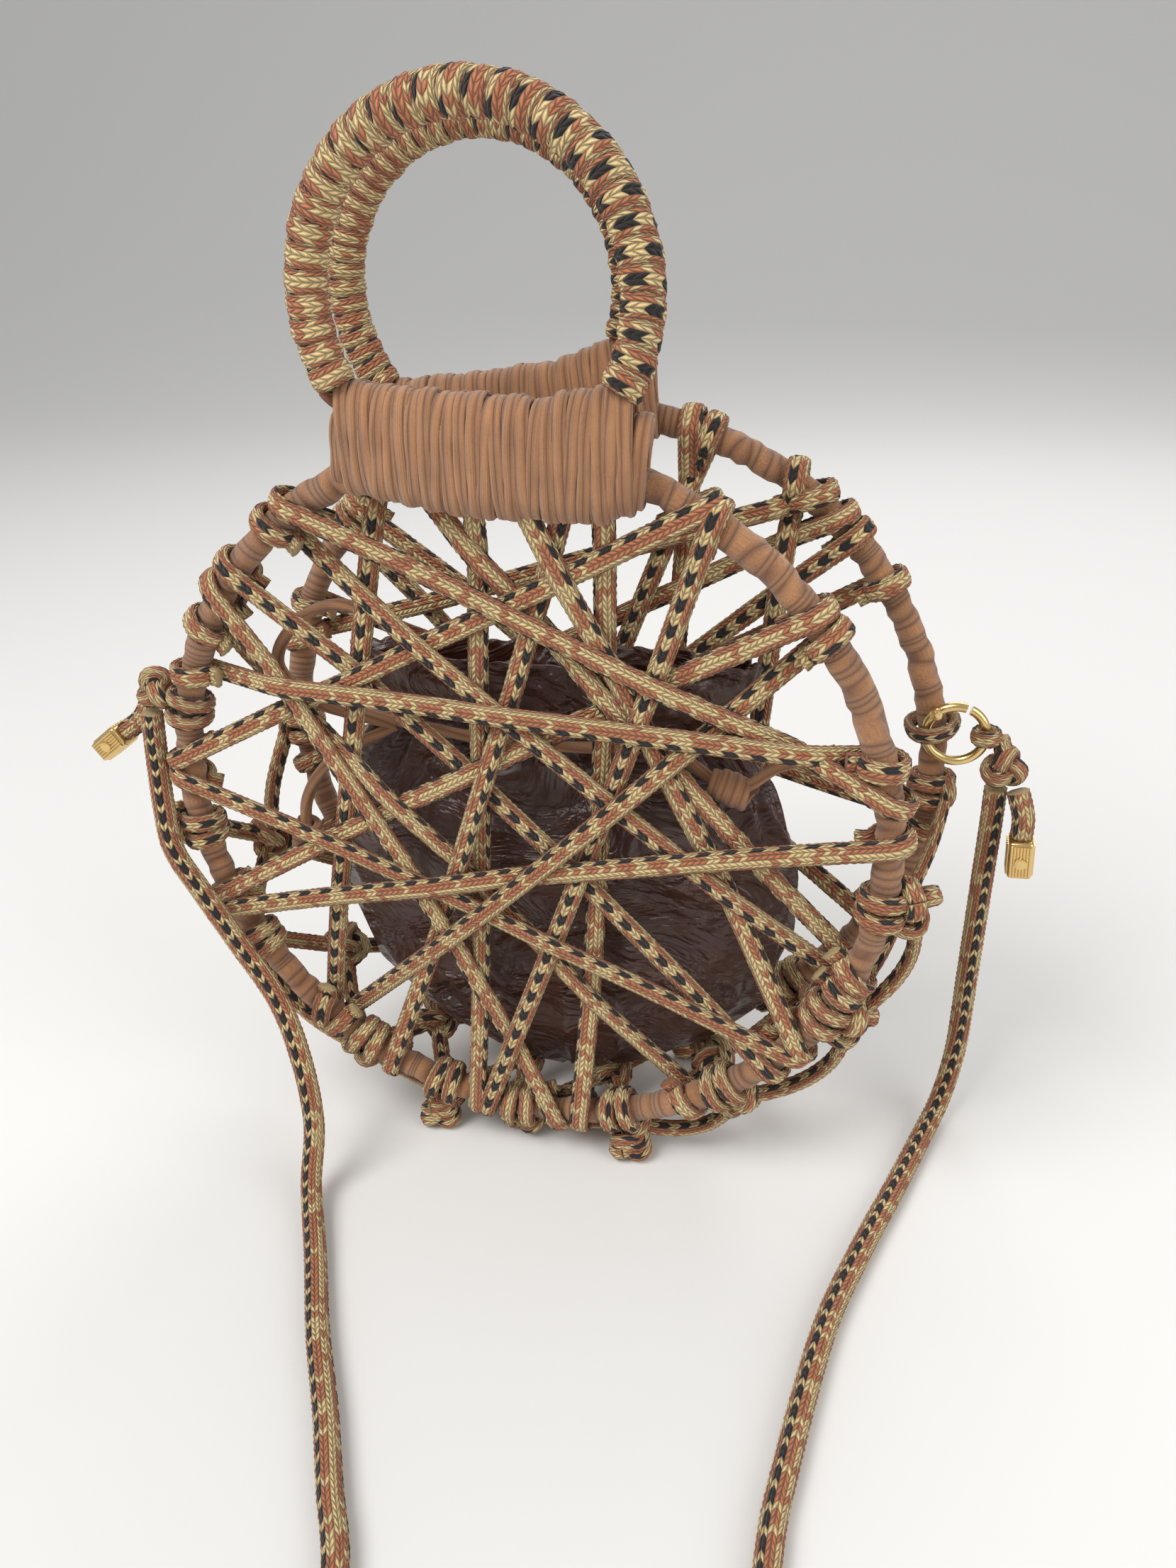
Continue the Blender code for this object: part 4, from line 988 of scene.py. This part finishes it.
def end_cap(part, route):
    """A bevelled metal block over the cord's end, ribbed along its length, with a round screw."""
    ends = [Vector(p) for p in at_bag(route[-2:])]
    along = (ends[1] - ends[0]).normalized()
    middle = ends[1] + along * (CAP_LENGTH / 2 + 0.0003)
    turned = along.to_track_quat("Z", "Y").to_matrix()
    quarters = [turned @ Matrix.Rotation(i * math.pi / 2, 3, "Z") for i in range(4)]
    facing = min(range(4), key=lambda i: (quarters[i] @ Vector((0, 1, 0))).y)
    wide, thick = (CAP_WIDE, CAP_THICK) if facing % 2 == 0 else (CAP_THICK, CAP_WIDE)
    bpy.ops.mesh.primitive_cube_add(size=1.0)
    block = bpy.context.object
    block.scale = (wide * 0.93, thick * 0.93, CAP_LENGTH)
    bpy.ops.object.transform_apply(scale=True)
    pieces = [bevelled(block, 0.0013, 4)]
    ribs = [((i - 3) * wide * 0.118, side * thick * 0.462) for side in (-1, 1) for i in range(7)]
    ribs += [(side * wide * 0.462, (i - 2) * thick * 0.135) for i in range(5) for side in (-1, 1)]
    for x, y in ribs:
        bpy.ops.mesh.primitive_cylinder_add(vertices=10, radius=RIB_RADIUS, depth=RIB_LENGTH, location=(x, y, 0))
        pieces.append(bpy.context.object)
    bpy.ops.mesh.primitive_cylinder_add(
        vertices=32, radius=0.0021, depth=0.0012, location=(0, thick * 0.5, 0.0005),
        rotation=(math.radians(90), 0, 0))
    pieces.append(bevelled(bpy.context.object, 0.00025, 2))
    cap = joined(pieces)
    cap.name = f"{part}_end_cap"
    cap.matrix_world = Matrix.Translation(middle) @ quarters[facing].to_4x4()
    finished_metal(cap, "bag", f"end_cap_{part}")
    return cap


left_cap = end_cap("left", LEFT_TAIL)
right_cap = end_cap("right", RIGHT_TAIL)

# Strap
# One length of the knitted cord, as round as it is wide, falls from the left knot to the floor, runs out in
# front of the bag, turns and comes back up to the right knot.
STRAP_ROUTE = (
    (-0.1315, 0.0303, 0.0030), (-0.1335, 0.0110, 0.0030), (-0.1310, -0.0050, 0.0080),
    (-0.1270, -0.0190, 0.0125), (-0.1175, -0.0340, 0.0145), (-0.1050, -0.0530, 0.0165),
    (-0.0889, -0.0720, 0.0220), (-0.0775, -0.0900, 0.0310), (-0.0715, -0.1120, 0.0390),
    (-0.0690, -0.1295, 0.0510), (-0.0550, -0.1336, 0.0761), (-0.0395, -0.1336, 0.1042),
    (-0.0244, -0.1336, 0.1285), (-0.0122, -0.1336, 0.1498), (-0.0010, -0.1336, 0.1687),
    (0.0140, -0.1336, 0.2050), (0.0240, -0.1336, 0.2550), (0.0420, -0.1336, 0.3050),
    (0.0760, -0.1336, 0.3260), (0.1080, -0.1336, 0.3000), (0.1150, -0.1336, 0.2450),
    (0.1110, -0.1336, 0.1900), (0.1080, -0.1336, 0.1405), (0.1091, -0.1336, 0.1142),
    (0.1150, -0.1336, 0.0656), (0.1234, -0.1336, 0.0322), (0.1324, -0.1336, 0.0028),
    (0.1410, -0.1336, -0.0260), (0.1480, -0.1280, -0.0460), (0.1520, -0.1091, -0.0540),
    (0.1530, -0.0772, -0.0560), (0.1540, -0.0370, -0.0570), (0.1545, -0.0142, -0.0565),
    (0.1545, 0.0009, -0.0550),
)
route = smooth_through(at_bag(STRAP_ROUTE), 24)
strap_run = knit_run(route, np.tile((0.25, -0.6, 1.0), (len(route), 1)), STRAP_CORD, 0.0068, twist=4.0)
strap = swept("shoulder_strap", [strap_run], strap_knit, around=24, step=0.0011, wales=10)
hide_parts("strap")
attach(strap, "bag")

# Floor and light
# A plain pale floor with one large soft lamp above, a weaker one from the left and a pale surround.
floor_finish = fresh_material("floor_finish", {"Roughness": 0.8, "Base Color": (0.80, 0.79, 0.77, 1.0)})[0]
bpy.ops.mesh.primitive_plane_add(size=8, location=(0, 0, 0))
floor = bpy.context.object
floor.name = "floor"
bpy.ops.object.mode_set(mode="EDIT")
shape = bmesh.from_edit_mesh(floor.data)
far_edge = max(shape.edges, key=lambda edge: edge.verts[0].co.y + edge.verts[1].co.y)
bpy.ops.mesh.select_all(action="DESELECT")
far_edge.select_set(True)
bmesh.update_edit_mesh(floor.data)
bpy.ops.mesh.extrude_region_move(TRANSFORM_OT_translate={"value": (0, 0, 6)})
bpy.ops.object.mode_set(mode="OBJECT")
bevelled(floor, 2.5, 24)
floor.data.shade_smooth()
floor.data.materials.append(floor_finish)

for name, place, size, power in (
    ("key_light", (-0.7, -0.9, 1.5), 1.0, 22.0),
    ("side_light", (1.3, -0.5, 0.9), 1.2, 9.0),
    ("back_light", (0.2, 1.2, 1.2), 1.0, 8.0),
):
    bpy.ops.object.light_add(type="AREA", location=place)
    lamp = bpy.context.object
    lamp.name = name
    lamp.data.size = size
    lamp.data.energy = power
    aim = Vector((0, 0, 0.15)) - Vector(place)
    lamp.rotation_euler = aim.to_track_quat("-Z", "Y").to_euler()
world = bpy.data.worlds.new("pale_surround")
world.use_nodes = True
world.node_tree.nodes["Background"].inputs["Color"].default_value = (0.86, 0.87, 0.88, 1.0)
world.node_tree.nodes["Background"].inputs["Strength"].default_value = 0.55
bpy.context.scene.world = world
bpy.context.scene.view_settings.view_transform = "Standard"
